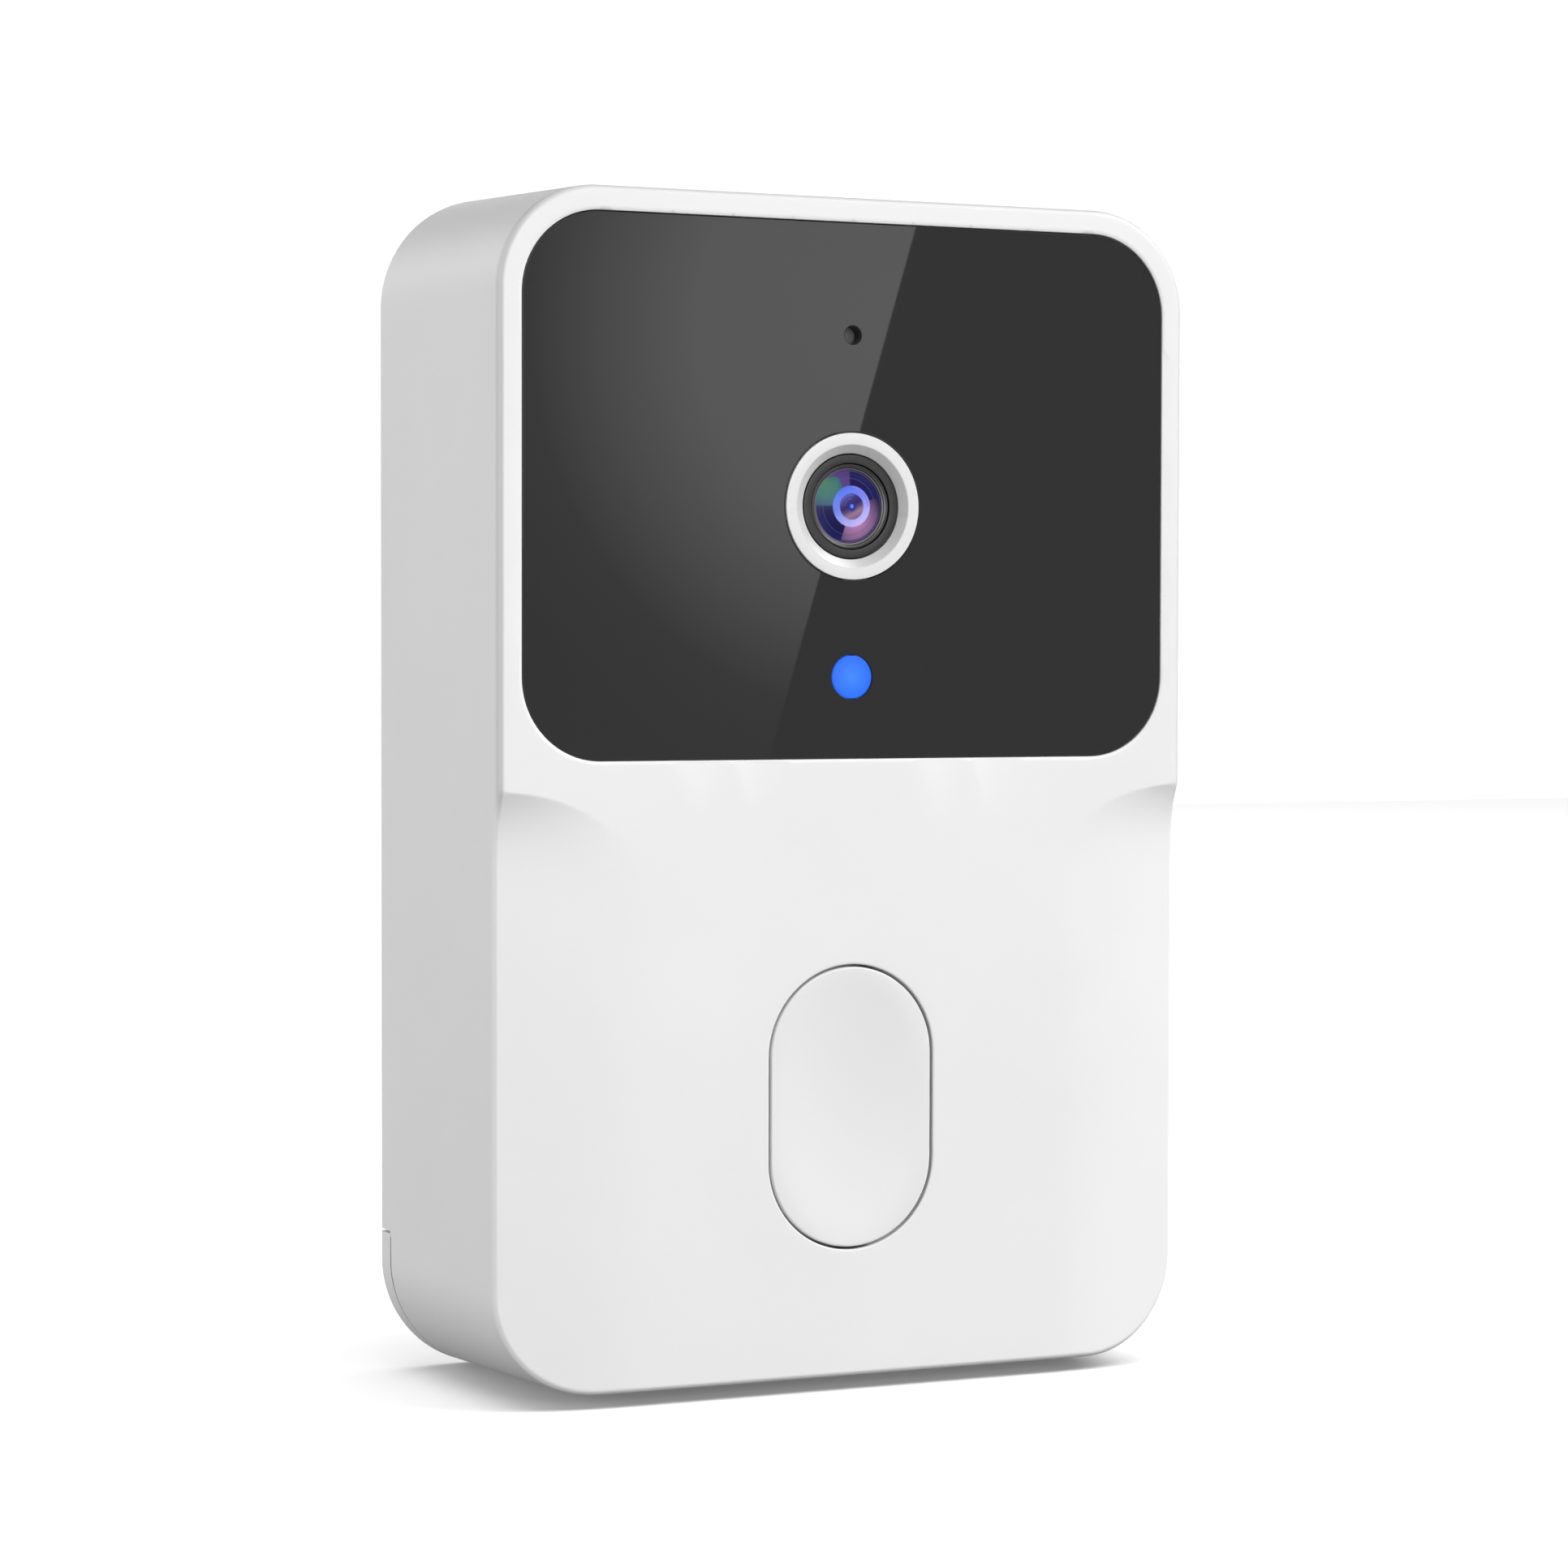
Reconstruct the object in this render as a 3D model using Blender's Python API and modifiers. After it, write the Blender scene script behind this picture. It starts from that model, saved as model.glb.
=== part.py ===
"""Battery video doorbell: a white body with a dark camera window and a press button.

Frame: X is the width, -Y is the front, +Z is up.  Every size is in metres.  The pieces are
laid out with z = 0 at the front face's lower edge.  One empty, which they all hang from, then
sets the origin at the middle of the foot: the body widens towards its rear, and stands on
its lower rear edge.
"""
import math

import bmesh
import bpy

# ------------------------------------------------------------------ driving dimensions
HEIGHT = 0.0900              # of the front face
WIDTH = 0.0574
DEPTH = 0.0238
DRAFT = 0.0011               # how far the rear outline stands outside the front one
CORNER = 0.0078              # outline radius, seen from the front
EDGE = 0.0004                # rounding of the outer edges
WALL = 0.0018                # side walls
FRONT_WALL = 0.0023
GAP = 0.00005                # between pieces that are fastened together
CLEAR = 0.00015              # between pieces that slide or drop in

REAR = 0.01115
FRONT = REAR - DEPTH
HALF = WIDTH / 2
INNER_HALF = HALF - WALL
INNER_FRONT = FRONT + FRONT_WALL
INNER_CORNER = CORNER - WALL

# Finger scoops: below the window the face falls back towards each side.
SCOOP_SETBACK = 0.00125      # at the side edges
SCOOP_WIDTH = 0.0115         # from the side edge to the flat middle
SCOOP_LOW = 0.0370           # height where the crest starts to rise
SCOOP_RISE = 0.0081          # to where the crest meets the side edge
SCOOP_FALL = 1.6             # how fast the strip falls away, as a power
SCOOP_CREST = 4.0            # how crisp the crest is, as a power

# Camera window
PANEL_HALF = 0.0269
PANEL_LOW = 0.0474
PANEL_TOP = 0.0881
PANEL_CORNER = 0.0062
PANEL_THICK = 0.0012
PANEL_FRONT = FRONT + 0.0001
PANEL_BACK = PANEL_FRONT + PANEL_THICK
POCKET_FLOOR = PANEL_BACK + 0.00028
WINDOW_HALF = 0.0213
WINDOW_LOW = 0.0495
WINDOW_TOP = 0.0820
LENS_Z = 0.0666
STATUS_Z = 0.0536
MIC_Z = 0.0796
BEZEL_R = 0.00558
STATUS_R = 0.0017
MIC_R = 0.0007
BARREL_R = 0.00395
BARREL_FRONT = FRONT + 0.00043
BARREL_REAR = -0.0029

# Press button
BUTTON_Z = 0.0207
BUTTON_WIDTH = 0.0135
BUTTON_HEIGHT = 0.0215
BUTTON_GAP = 0.0002
BUTTON_TRAVEL = 0.0005
BUTTON_DISH = 0.0005

# Rear: a chassis carries the boards and the battery bay, and a cover slides over it.
PLATE_FRONT = 0.0071
PLATE_REAR = 0.0089
COVER_FRONT = 0.00905
COVER_STEP = 0.00985         # below this height the cover has the body's full outline
FOOT_HALF = 0.0050
FOOT_TOP = 0.0027
FOOT_FRONT = 0.0050
COVER_SCREW_Y = 0.0072
RAIL_TOP = 0.0800            # the cover's side rails stop below the rounded corners
BAY_HALF = 0.0266
BAY_LOW = 0.0104
BAY_TOP = 0.0448
BAY_FLOOR = -0.00315
BAY_WALL = 0.0010
BOSS_X = 0.0236
BOSS_LOW = 0.0054
BOSS_TOP = HEIGHT - BOSS_LOW
BOSS_R = 0.0024
BOSS_END = PLATE_FRONT - 0.0001

# Cells, size AAA
CELL_R = 0.00525
CELL_LENGTH = 0.0445
CELL_PITCH = 0.0107
CELL_Y = 0.0033
CELL_LOW = 0.0169

# Boards
MAIN_FRONT = 0.0
MAIN_REAR = 0.0012
LIGHT_FRONT = INNER_FRONT + 0.0001
LIGHT_REAR = LIGHT_FRONT + 0.0008
KEY_FRONT = -0.00485
KEY_REAR = -0.00405
MAIN_HALF = 0.0195
MAIN_LOW = 0.0462
MAIN_TOP = 0.0856
STAKE_R = 0.0006
LIGHT_STAKES = ((-0.0170, 0.0460), (0.0170, 0.0460))
KEY_STAKES = ((-0.0070, 0.0135), (0.0070, 0.0280))
POSTS = ((-0.0170, 0.0800), (0.0170, 0.0520))
RESET_X = 0.0120
RESET_Z = 0.0580
SPEAKER_Y = -0.0020
SPEAKER_R = 0.0063


# ------------------------------------------------------------------------ scene set-up
for old in list(bpy.data.objects):
    bpy.data.objects.remove(old, do_unlink=True)

PARTS = bpy.data.collections.new("video_doorbell")
CUTTERS = bpy.data.collections.new("cutters")
bpy.context.scene.collection.children.link(PARTS)
bpy.context.scene.collection.children.link(CUTTERS)
BASE = bpy.data.objects.new("doorbell_base", None)
BASE.location = (0.0, -(FRONT + REAR) / 2, DRAFT)
PARTS.objects.link(BASE)


def material(name, colour, roughness=0.5, metallic=0.0, alpha=1.0):
    """A Principled material with one colour."""
    made = bpy.data.materials.new(name)
    made.use_nodes = True
    shader = made.node_tree.nodes["Principled BSDF"]
    shader.inputs["Base Color"].default_value = (*colour, 1.0)
    shader.inputs["Roughness"].default_value = roughness
    shader.inputs["Metallic"].default_value = metallic
    shader.inputs["Alpha"].default_value = alpha
    made.diffuse_color = (*colour, alpha)
    return made


WHITE = material("white_plastic", (0.82, 0.82, 0.82), 0.45)
WHITE_GLOSS = material("white_gloss_plastic", (0.84, 0.84, 0.85), 0.2)
SMOKED = material("smoked_acrylic", (0.03, 0.03, 0.032), 0.06)
BLACK = material("black_plastic", (0.02, 0.02, 0.022), 0.4)
RUBBER = material("black_rubber", (0.03, 0.03, 0.03), 0.8)
GLASS = material("coated_glass", (0.25, 0.3, 0.6), 0.02, alpha=0.4)
FILTER = material("filter_glass", (0.5, 0.15, 0.3), 0.05, alpha=0.5)
BOARD = material("circuit_board", (0.02, 0.16, 0.06), 0.4)
CHIP = material("chip_black", (0.03, 0.03, 0.035), 0.5)
STEEL = material("plated_steel", (0.7, 0.7, 0.72), 0.3, 1.0)
BRASS = material("nickel_contact", (0.75, 0.72, 0.62), 0.3, 1.0)
CELL = material("cell_jacket", (0.12, 0.25, 0.5), 0.35)
CERAMIC = material("ceramic_white", (0.85, 0.83, 0.78), 0.4)
BLUE_LIGHT = material("blue_light_guide", (0.05, 0.22, 1.0), 0.2)
PAPER = material("cone_paper", (0.08, 0.08, 0.08), 0.7)
RED_WIRE = material("red_wire", (0.6, 0.03, 0.03), 0.4)
BLACK_WIRE = material("black_wire", (0.02, 0.02, 0.02), 0.4)


# --------------------------------------------------------------------- making functions
def finish(obj, finish_material, cutter=False):
    """Link an object, give it its material, and mark it when it is a cutter."""
    obj.data.materials.append(finish_material)
    obj.parent = BASE
    if cutter:
        CUTTERS.objects.link(obj)
        obj.hide_render = True
        obj.display_type = "WIRE"
    else:
        PARTS.objects.link(obj)
    return obj


def mesh_object(name, bm, finish_material, cutter=False, smooth_angle=None):
    """Turn a bmesh into an object, smooth-shaded where its faces meet gently."""
    bmesh.ops.recalc_face_normals(bm, faces=bm.faces)
    mesh = bpy.data.meshes.new(name)
    bm.to_mesh(mesh)
    bm.free()
    if smooth_angle is not None:
        mesh.shade_smooth()
        mesh.set_sharp_from_angle(angle=smooth_angle)
    return finish(bpy.data.objects.new(name, mesh), finish_material, cutter)


def box(name, x, y, z, finish_material, cutter=False, bevel=0.0):
    """A box between two limits on each axis, placed by its centre."""
    bm = bmesh.new()
    bmesh.ops.create_cube(bm, size=1.0)
    bmesh.ops.scale(bm, vec=(x[1] - x[0], y[1] - y[0], z[1] - z[0]), verts=bm.verts)
    obj = mesh_object(name, bm, finish_material, cutter)
    obj.location = ((x[0] + x[1]) / 2, (y[0] + y[1]) / 2, (z[0] + z[1]) / 2)
    if bevel:
        round_edges(obj, bevel, 1)
    return obj


def slab(name, half_width, z, radius, y, finish_material, cutter=False, centre_x=0.0, steps=6):
    """A plate in the XZ plane with rounded corners; a stadium when the radius is half its width."""
    width = 2 * half_width
    height = z[1] - z[0]
    bm = bmesh.new()
    bmesh.ops.create_cube(bm, size=1.0)
    bmesh.ops.scale(bm, vec=(width, y[1] - y[0], height), verts=bm.verts)
    corners = [e for e in bm.edges if abs(e.verts[0].co.y - e.verts[1].co.y) > 1e-6]
    reach = min(radius, 0.4995 * min(width, height))
    bmesh.ops.bevel(bm, geom=corners, offset=reach, offset_type="OFFSET", segments=steps,
                    profile=0.5, affect="EDGES", clamp_overlap=False)
    bmesh.ops.remove_doubles(bm, verts=bm.verts, dist=0.00002)
    obj = mesh_object(name, bm, finish_material, cutter, math.radians(40))
    obj.location = (centre_x, (y[0] + y[1]) / 2, (z[0] + z[1]) / 2)
    return obj


def body_outline(name, y, cutter=False):
    """The body's outer shape: a rounded plate that widens evenly from its front to its rear."""
    obj = slab(name, HALF, (0.0, HEIGHT), CORNER, y, WHITE, cutter, steps=9)
    for vertex in obj.data.vertices:
        grow = DRAFT * (vertex.co.y + obj.location.y - FRONT) / DEPTH
        x, z = vertex.co.x, vertex.co.z
        straight_x = HALF - CORNER
        straight_z = HEIGHT / 2 - CORNER
        away = (x - max(min(x, straight_x), -straight_x), z - max(min(z, straight_z), -straight_z))
        reach = math.hypot(*away)
        vertex.co.x += grow * away[0] / reach
        vertex.co.z += grow * away[1] / reach
    return obj


TURN_TO_FRONT = (math.radians(90), 0.0, 0.0)
TURN_TO_RIGHT = (0.0, math.radians(90), 0.0)
TURN_TO_LEFT = (0.0, math.radians(-90), 0.0)
UPRIGHT = (0.0, 0.0, 0.0)


def turned(name, profile, finish_material, place=(0.0, 0.0, 0.0), turn=TURN_TO_FRONT,
           steps=24, cutter=False):
    """Turn a profile of (radius, height) points about the piece's own axis.

    The profile runs down the outer side from the top.  A profile that starts and ends
    on the axis is a solid; any other is closed into a ring.
    """
    bm = bmesh.new()
    points = [bm.verts.new((radius, 0.0, height)) for radius, height in profile]
    for first, second in zip(points, points[1:]):
        bm.edges.new((first, second))
    if profile[0][0] > 0.0 or profile[-1][0] > 0.0:
        bm.edges.new((points[-1], points[0]))
    mesh = bpy.data.meshes.new(name)
    bm.to_mesh(mesh)
    bm.free()
    obj = finish(bpy.data.objects.new(name, mesh), finish_material, cutter)
    screw = obj.modifiers.new("turn", "SCREW")
    screw.axis = "Z"
    screw.steps = steps
    screw.render_steps = steps
    screw.use_merge_vertices = True
    screw.merge_threshold = 0.000001
    screw.use_smooth_shade = True
    obj.location = place
    obj.rotation_euler = turn
    return obj


def front_turned(name, profile, finish_material, x, z, steps=24, cutter=False):
    """A turned piece whose axis points forward; heights are given as world Y."""
    heights = [(radius, -y) for radius, y in profile]
    return turned(name, heights, finish_material, (x, 0.0, z), TURN_TO_FRONT, steps, cutter)


def rod(name, radius, y, x, z, finish_material, steps=16, cutter=False):
    """A plain cylinder along Y between two depths."""
    profile = [(0.0, y[0]), (radius, y[0]), (radius, y[1]), (0.0, y[1])]
    return front_turned(name, profile, finish_material, x, z, steps, cutter)


def ring(name, outer, inner, y, finish_material, x, z, steps=24):
    """A plain ring along Y between two depths."""
    profile = [(outer, y[0]), (outer, y[1]), (inner, y[1]), (inner, y[0])]
    return front_turned(name, profile, finish_material, x, z, steps)


def round_edges(obj, width, segments):
    """Round the edges that meet at a steep angle."""
    bevel = obj.modifiers.new("edges", "BEVEL")
    bevel.width = width
    bevel.segments = segments
    bevel.limit_method = "ANGLE"
    bevel.angle_limit = math.radians(50)
    return obj


def combine(obj, others, operation):
    """Cut or join other objects with exact Boolean modifiers."""
    for other in others:
        step = obj.modifiers.new(other.name, "BOOLEAN")
        step.operation = operation
        step.solver = "EXACT"
        step.object = other
    return obj


def cut(obj, *cutters):
    return combine(obj, cutters, "DIFFERENCE")


def join(obj, *pieces):
    return combine(obj, pieces, "UNION")


def wire(name, points, radius, finish_material, smooth_steps=1):
    """A round wire through its points, as a tube with capped ends."""
    curve = bpy.data.curves.new(name, "CURVE")
    curve.dimensions = "3D"
    curve.bevel_depth = radius
    curve.bevel_resolution = 2
    curve.use_fill_caps = True
    spline = curve.splines.new("POLY")
    path = smooth_path(points, smooth_steps)
    spline.points.add(len(path) - 1)
    for point, place in zip(spline.points, path):
        point.co = (*place, 1.0)
    return finish(bpy.data.objects.new(name, curve), finish_material)


def smooth_path(points, steps):
    """Points along a Catmull-Rom curve through the given ones."""
    if steps <= 1:
        return points
    path = []
    for index in range(len(points) - 1):
        before = points[max(index - 1, 0)]
        start = points[index]
        end = points[index + 1]
        after = points[min(index + 2, len(points) - 1)]
        for step in range(steps):
            t = step / steps
            path.append(tuple(catmull_rom(*values, t) for values in zip(before, start, end, after)))
    path.append(points[-1])
    return path


def catmull_rom(before, start, end, after, t):
    return 0.5 * (2 * start + (end - before) * t
                  + (2 * before - 5 * start + 4 * end - after) * t ** 2
                  + (3 * start - before - 3 * end + after) * t ** 3)


# ------------------------------------------------------------------------- the housing
def scoop_depth(across, rise):
    """Set-back of the face at a fraction across the strip and up the crest's rise."""
    radius = min(math.hypot(across, rise), 1.0)
    return SCOOP_SETBACK * (1 - across) ** SCOOP_FALL * (1 - radius ** SCOOP_CREST)


def scoop_cutter(side):
    """The space above one scoop: its sunken surface, pulled out past the face."""
    columns = [math.sin(math.radians(angle)) for angle in (84, 72, 60, 48, 36, 24, 12, 0)]
    rises = (0.25, 0.5, 0.7, 0.85, 0.95, 1.0)
    lift = 0.00001
    bm = bmesh.new()
    grid = []
    for across, outward in [(c, 0.0) for c in columns] + [(0.0, 0.0006)]:
        x = side * (HALF + outward - across * SCOOP_WIDTH)
        crest = math.sqrt(1 - across ** 2)
        column = []
        for z, rise in [(-0.001, 0.0), (SCOOP_LOW, 0.0)] + [
                (SCOOP_LOW + SCOOP_RISE * crest * t, crest * t) for t in rises]:
            y = FRONT + scoop_depth(across, rise) - lift
            column.append(bm.verts.new((x, y, z)))
        grid.append(column)
    for left, right in zip(grid, grid[1:]):
        for row in range(len(left) - 1):
            bm.faces.new((left[row], right[row], right[row + 1], left[row + 1]))
    pulled = bmesh.ops.extrude_face_region(bm, geom=list(bm.faces))["geom"]
    for item in pulled:
        if isinstance(item, bmesh.types.BMVert):
            item.co.y = FRONT - 0.001
    return mesh_object(f"scoop_{side}", bm, WHITE, cutter=True)


def pins(name, places, radius, y, finish_material, steps=12, cutter=True):
    """Cylinders along Y at several places, made as separate cutter objects."""
    return [rod(f"{name}_{index}", radius, y, x, z, finish_material, steps, cutter)
            for index, (x, z) in enumerate(places, 1)]


BOSSES = [(side * BOSS_X, z) for z in (BOSS_LOW, BOSS_TOP) for side in (-1, 1)]


def speaker_grille():
    """Seven round holes: one in the middle and six around it."""
    hole_r = 0.0008
    pitch = 0.0030
    holes = [(0.0, SPEAKER_Y)]
    for step in range(6):
        angle = math.radians(60 * step)
        holes.append((pitch * math.cos(angle), SPEAKER_Y + pitch * math.sin(angle)))
    cutters = []
    for index, (x, y) in enumerate(holes, 1):
        profile = [(0.0, WALL + 0.001), (hole_r, WALL + 0.001), (hole_r, -0.002), (0.0, -0.002)]
        cutters.append(turned(f"grille_hole_{index}", profile, WHITE, (x, y, 0.0), UPRIGHT, 12, True))
    return cutters


def front_housing():
    body = body_outline("front_housing", (FRONT, REAR))
    round_edges(body, EDGE, 2)
    cavity = slab("housing_cavity", INNER_HALF, (WALL, HEIGHT - WALL), INNER_CORNER,
                  (INNER_FRONT, REAR + 0.002), WHITE, True)
    pocket = slab("panel_pocket", PANEL_HALF + CLEAR, (PANEL_LOW - CLEAR, PANEL_TOP + CLEAR),
                  PANEL_CORNER + CLEAR, (FRONT - 0.001, POCKET_FLOOR), WHITE, True, steps=8)
    window = slab("housing_window", WINDOW_HALF, (WINDOW_LOW, WINDOW_TOP), 0.002,
                  (FRONT - 0.001, INNER_FRONT + 0.001), WHITE, True, steps=3)
    button_hole = slab("button_hole", BUTTON_WIDTH / 2 + BUTTON_GAP,
                       (BUTTON_Z - BUTTON_HEIGHT / 2 - BUTTON_GAP,
                        BUTTON_Z + BUTTON_HEIGHT / 2 + BUTTON_GAP),
                       BUTTON_WIDTH / 2 + BUTTON_GAP, (FRONT - 0.001, INNER_FRONT + 0.001),
                       WHITE, True, steps=8)
    cover_rebate = box("cover_rebate", (-HALF - 0.002, HALF + 0.002), (COVER_FRONT - 0.0001, REAR + 0.001),
                       (-0.002, COVER_STEP + 0.0001), WHITE, True)
    foot_notch = box("foot_notch", (-FOOT_HALF - CLEAR, FOOT_HALF + CLEAR),
                     (FOOT_FRONT - CLEAR, REAR), (-0.002, WALL + 0.001), WHITE, True)
    grooves = [box(f"cover_groove_{side}", sorted((side * (INNER_HALF - 0.001), side * (INNER_HALF + 0.00075))),
                   (0.0094, 0.0105), (0.005, RAIL_TOP + 0.0008), WHITE, True) for side in (-1, 1)]
    cut(body, cavity, pocket, window, button_hole, scoop_cutter(-1), scoop_cutter(1),
        cover_rebate, foot_notch, *grooves, *speaker_grille())
    join(body, *pins("boss", BOSSES, BOSS_R, (INNER_FRONT - 0.0004, BOSS_END), WHITE, 16),
         *pins("light_stake", LIGHT_STAKES, STAKE_R, (INNER_FRONT - 0.0005, LIGHT_REAR + 0.0003), WHITE, 8))
    cut(body, *pins("boss_pilot", BOSSES, 0.00085, (-0.0010, BOSS_END + 0.001), WHITE))
    return body


# --------------------------------------------------------------- chassis and its cover
def rear_chassis():
    plate = slab("rear_chassis", INNER_HALF - CLEAR, (WALL + 0.0002, HEIGHT - WALL - 0.0002),
                 INNER_CORNER - CLEAR, (PLATE_FRONT, PLATE_REAR), BLACK)
    bay = box("bay_box", (-BAY_HALF, BAY_HALF), (BAY_FLOOR, PLATE_REAR - 0.0005),
              (BAY_LOW, BAY_TOP), BLACK, True)
    lug = box("screw_lug", (-0.0030, 0.0030), (0.0060, PLATE_REAR - 0.0003), (0.0030, 0.0095), BLACK, True)
    join(plate, bay, lug,
         *pins("board_post", POSTS, 0.0022, (MAIN_REAR + 0.0001, PLATE_FRONT + 0.0005), BLACK, 14),
         *pins("key_shoulder", KEY_STAKES, 0.0014, (KEY_REAR + GAP, BAY_FLOOR + 0.0003), BLACK, 10),
         *pins("key_stake", KEY_STAKES, STAKE_R, (KEY_FRONT - 0.0002, BAY_FLOOR + 0.0001), BLACK, 8))
    pocket = box("bay_pocket", (-BAY_HALF + BAY_WALL, BAY_HALF - BAY_WALL), (BAY_FLOOR + BAY_WALL, REAR),
                 (BAY_LOW + BAY_WALL, BAY_TOP - BAY_WALL), BLACK, True)
    foot_relief = box("foot_relief", (-FOOT_HALF - 0.0002, FOOT_HALF + 0.0002), (0.0060, REAR),
                      (-0.001, FOOT_TOP + 0.0002), BLACK, True)
    lug_pilot = turned("lug_pilot", [(0.0, 0.0090), (0.00085, 0.0090), (0.00085, 0.0), (0.0, 0.0)],
                       BLACK, (0.0, COVER_SCREW_Y, 0.0), UPRIGHT, 12, True)
    tab_slots = [box(f"tab_slot_{side}", sorted((side * 0.02505, side * 0.02565)), (-0.0040, -0.0020),
                     (z - 0.0007, z + 0.0007), BLACK, True)
                 for side, z in ((-1, CELL_LOW), (1, CELL_LOW + 2 * CELL_PITCH))]
    cut(plate, pocket, foot_relief, lug_pilot, *tab_slots,
        *pins("screw_hole", BOSSES, 0.0011, (0.006, REAR), BLACK),
        *pins("screw_seat", BOSSES, 0.0020, (0.0079, REAR), BLACK, 14),
        *pins("post_pilot", POSTS, 0.0008, (0.0, 0.0055), BLACK, 10),
        *pins("reset_hole", ((RESET_X, RESET_Z),), 0.00145, (0.005, REAR), BLACK, 14))
    ribs = [box(f"bay_rib_{index}", (-0.015, 0.015), (BAY_FLOOR + 0.0005, BAY_FLOOR + 0.0026),
                (z - 0.0005, z + 0.0005), BLACK, True)
            for index, z in enumerate((CELL_LOW + CELL_PITCH / 2, CELL_LOW + 1.5 * CELL_PITCH), 1)]
    return join(plate, *ribs)


def rear_cover():
    """A plate inside the housing's rear rim that widens to the full outline at the foot."""
    plate = slab("rear_cover", INNER_HALF - 0.0001, (0.0060, HEIGHT - WALL - CLEAR),
                 INNER_CORNER - 0.0001, (COVER_FRONT, REAR), WHITE)
    outline = body_outline("cover_outline", (FRONT, REAR), True)
    round_edges(outline, EDGE, 2)
    foot_band = box("rear_foot_band", (-HALF - 0.002, HALF + 0.002), (COVER_FRONT, REAR + 0.001),
                    (-0.002, COVER_STEP), WHITE, True)
    foot = box("cover_foot", (-FOOT_HALF, FOOT_HALF), (FOOT_FRONT, COVER_FRONT + 0.0005), (-0.002, FOOT_TOP),
               WHITE, True)
    join(foot_band, foot)
    combine(foot_band, [outline], "INTERSECT")
    tongues = [box(f"cover_tongue_{side}", sorted((side * (INNER_HALF - 0.001), side * (INNER_HALF + 0.0006))),
                   (0.00955, 0.01035), (0.0120, RAIL_TOP), WHITE, True) for side in (-1, 1)]
    join(plate, foot_band, *tongues)
    seat = [(0.0, 0.0007), (0.0019, 0.0007), (0.0019, -0.002), (0.0, -0.002)]
    hole = [(0.0, 0.005), (0.0009, 0.005), (0.0009, -0.001), (0.0, -0.001)]
    place = (0.0, COVER_SCREW_Y, 0.0)
    wall_holes = [front_turned(f"wall_hole_{index}",
                               [(0.0, 0.0060), (0.0037, 0.0060), (0.0037, 0.0093), (0.0020, 0.0109),
                                (0.0020, 0.0130), (0.0, 0.0130)], WHITE, 0.0, z, 20, True)
                  for index, z in enumerate((0.0245, 0.0730), 1)]
    return cut(plate, turned("foot_seat", seat, WHITE, place, UPRIGHT, 16, True),
               turned("foot_hole", hole, WHITE, place, UPRIGHT, 12, True), *wall_holes)


def pan_screw(name, head_r, head, shank_r, length, place, turn):
    """A pan-head screw: its head's top is at the piece's origin and the shank runs down."""
    socket_r = head_r * 0.4
    socket = head * 0.5
    profile = [(0.0, -socket), (socket_r, -socket), (socket_r, 0.0), (head_r * 0.8, 0.0),
               (head_r, -head * 0.4), (head_r, -head), (shank_r, -head),
               (shank_r, -length + shank_r), (0.0, -length)]
    return turned(name, profile, STEEL, place, turn, 14)


def fasteners():
    to_rear = (math.radians(-90), 0.0, 0.0)
    upside_down = (math.radians(180), 0.0, 0.0)
    for index, (x, z) in enumerate(BOSSES, 1):
        pan_screw(f"housing_screw_{index}", 0.0018, 0.0009, 0.00078, 0.0085, (x, PLATE_REAR - 0.00005, z), to_rear)
    for index, (x, z) in enumerate(POSTS, 1):
        pan_screw(f"board_screw_{index}", 0.0015, 0.0009, 0.00072, 0.0052, (x, MAIN_FRONT - 0.00095, z),
                  TURN_TO_FRONT)
    pan_screw("cover_screw", 0.00175, 0.0011, 0.00075, 0.0088, (0.0, COVER_SCREW_Y, -0.0005), upside_down)


# --------------------------------------------------------------- window, lens and light
def window_pieces():
    panel = slab("front_panel", PANEL_HALF, (PANEL_LOW, PANEL_TOP), PANEL_CORNER,
                 (PANEL_FRONT, PANEL_BACK), SMOKED, steps=8)
    through = (FRONT - 0.002, PANEL_BACK + 0.002)
    cut(panel, rod("panel_lens_hole", BEZEL_R + 0.0001, through, 0.0, LENS_Z, SMOKED, 32, True),
        rod("panel_status_hole", STATUS_R, through, 0.0, STATUS_Z, SMOKED, 20, True),
        rod("panel_mic_hole", MIC_R, through, 0.0, MIC_Z, SMOKED, 12, True))
    tape_y = (PANEL_BACK + GAP, POCKET_FLOOR - GAP)
    tape = slab("panel_adhesive", PANEL_HALF - 0.0003, (PANEL_LOW + 0.0003, PANEL_TOP - 0.0003),
                PANEL_CORNER - 0.0003, tape_y, RUBBER, steps=4)
    cut(tape, slab("adhesive_window", WINDOW_HALF + 0.0002, (WINDOW_LOW - 0.0002, WINDOW_TOP + 0.0002), 0.002,
                   (tape_y[0] - 0.001, tape_y[1] + 0.001), RUBBER, True, steps=3))
    bezel_front = FRONT + 0.00001
    cone_rear = bezel_front + 0.00035
    flange = PANEL_BACK + GAP
    front_turned("lens_bezel", [
        (0.00474, bezel_front), (BEZEL_R, bezel_front), (BEZEL_R, flange), (0.0064, flange),
        (0.0064, flange + 0.0006), (0.00404, flange + 0.0006), (0.00404, cone_rear)],
        WHITE_GLOSS, 0.0, LENS_Z, 36)


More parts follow.
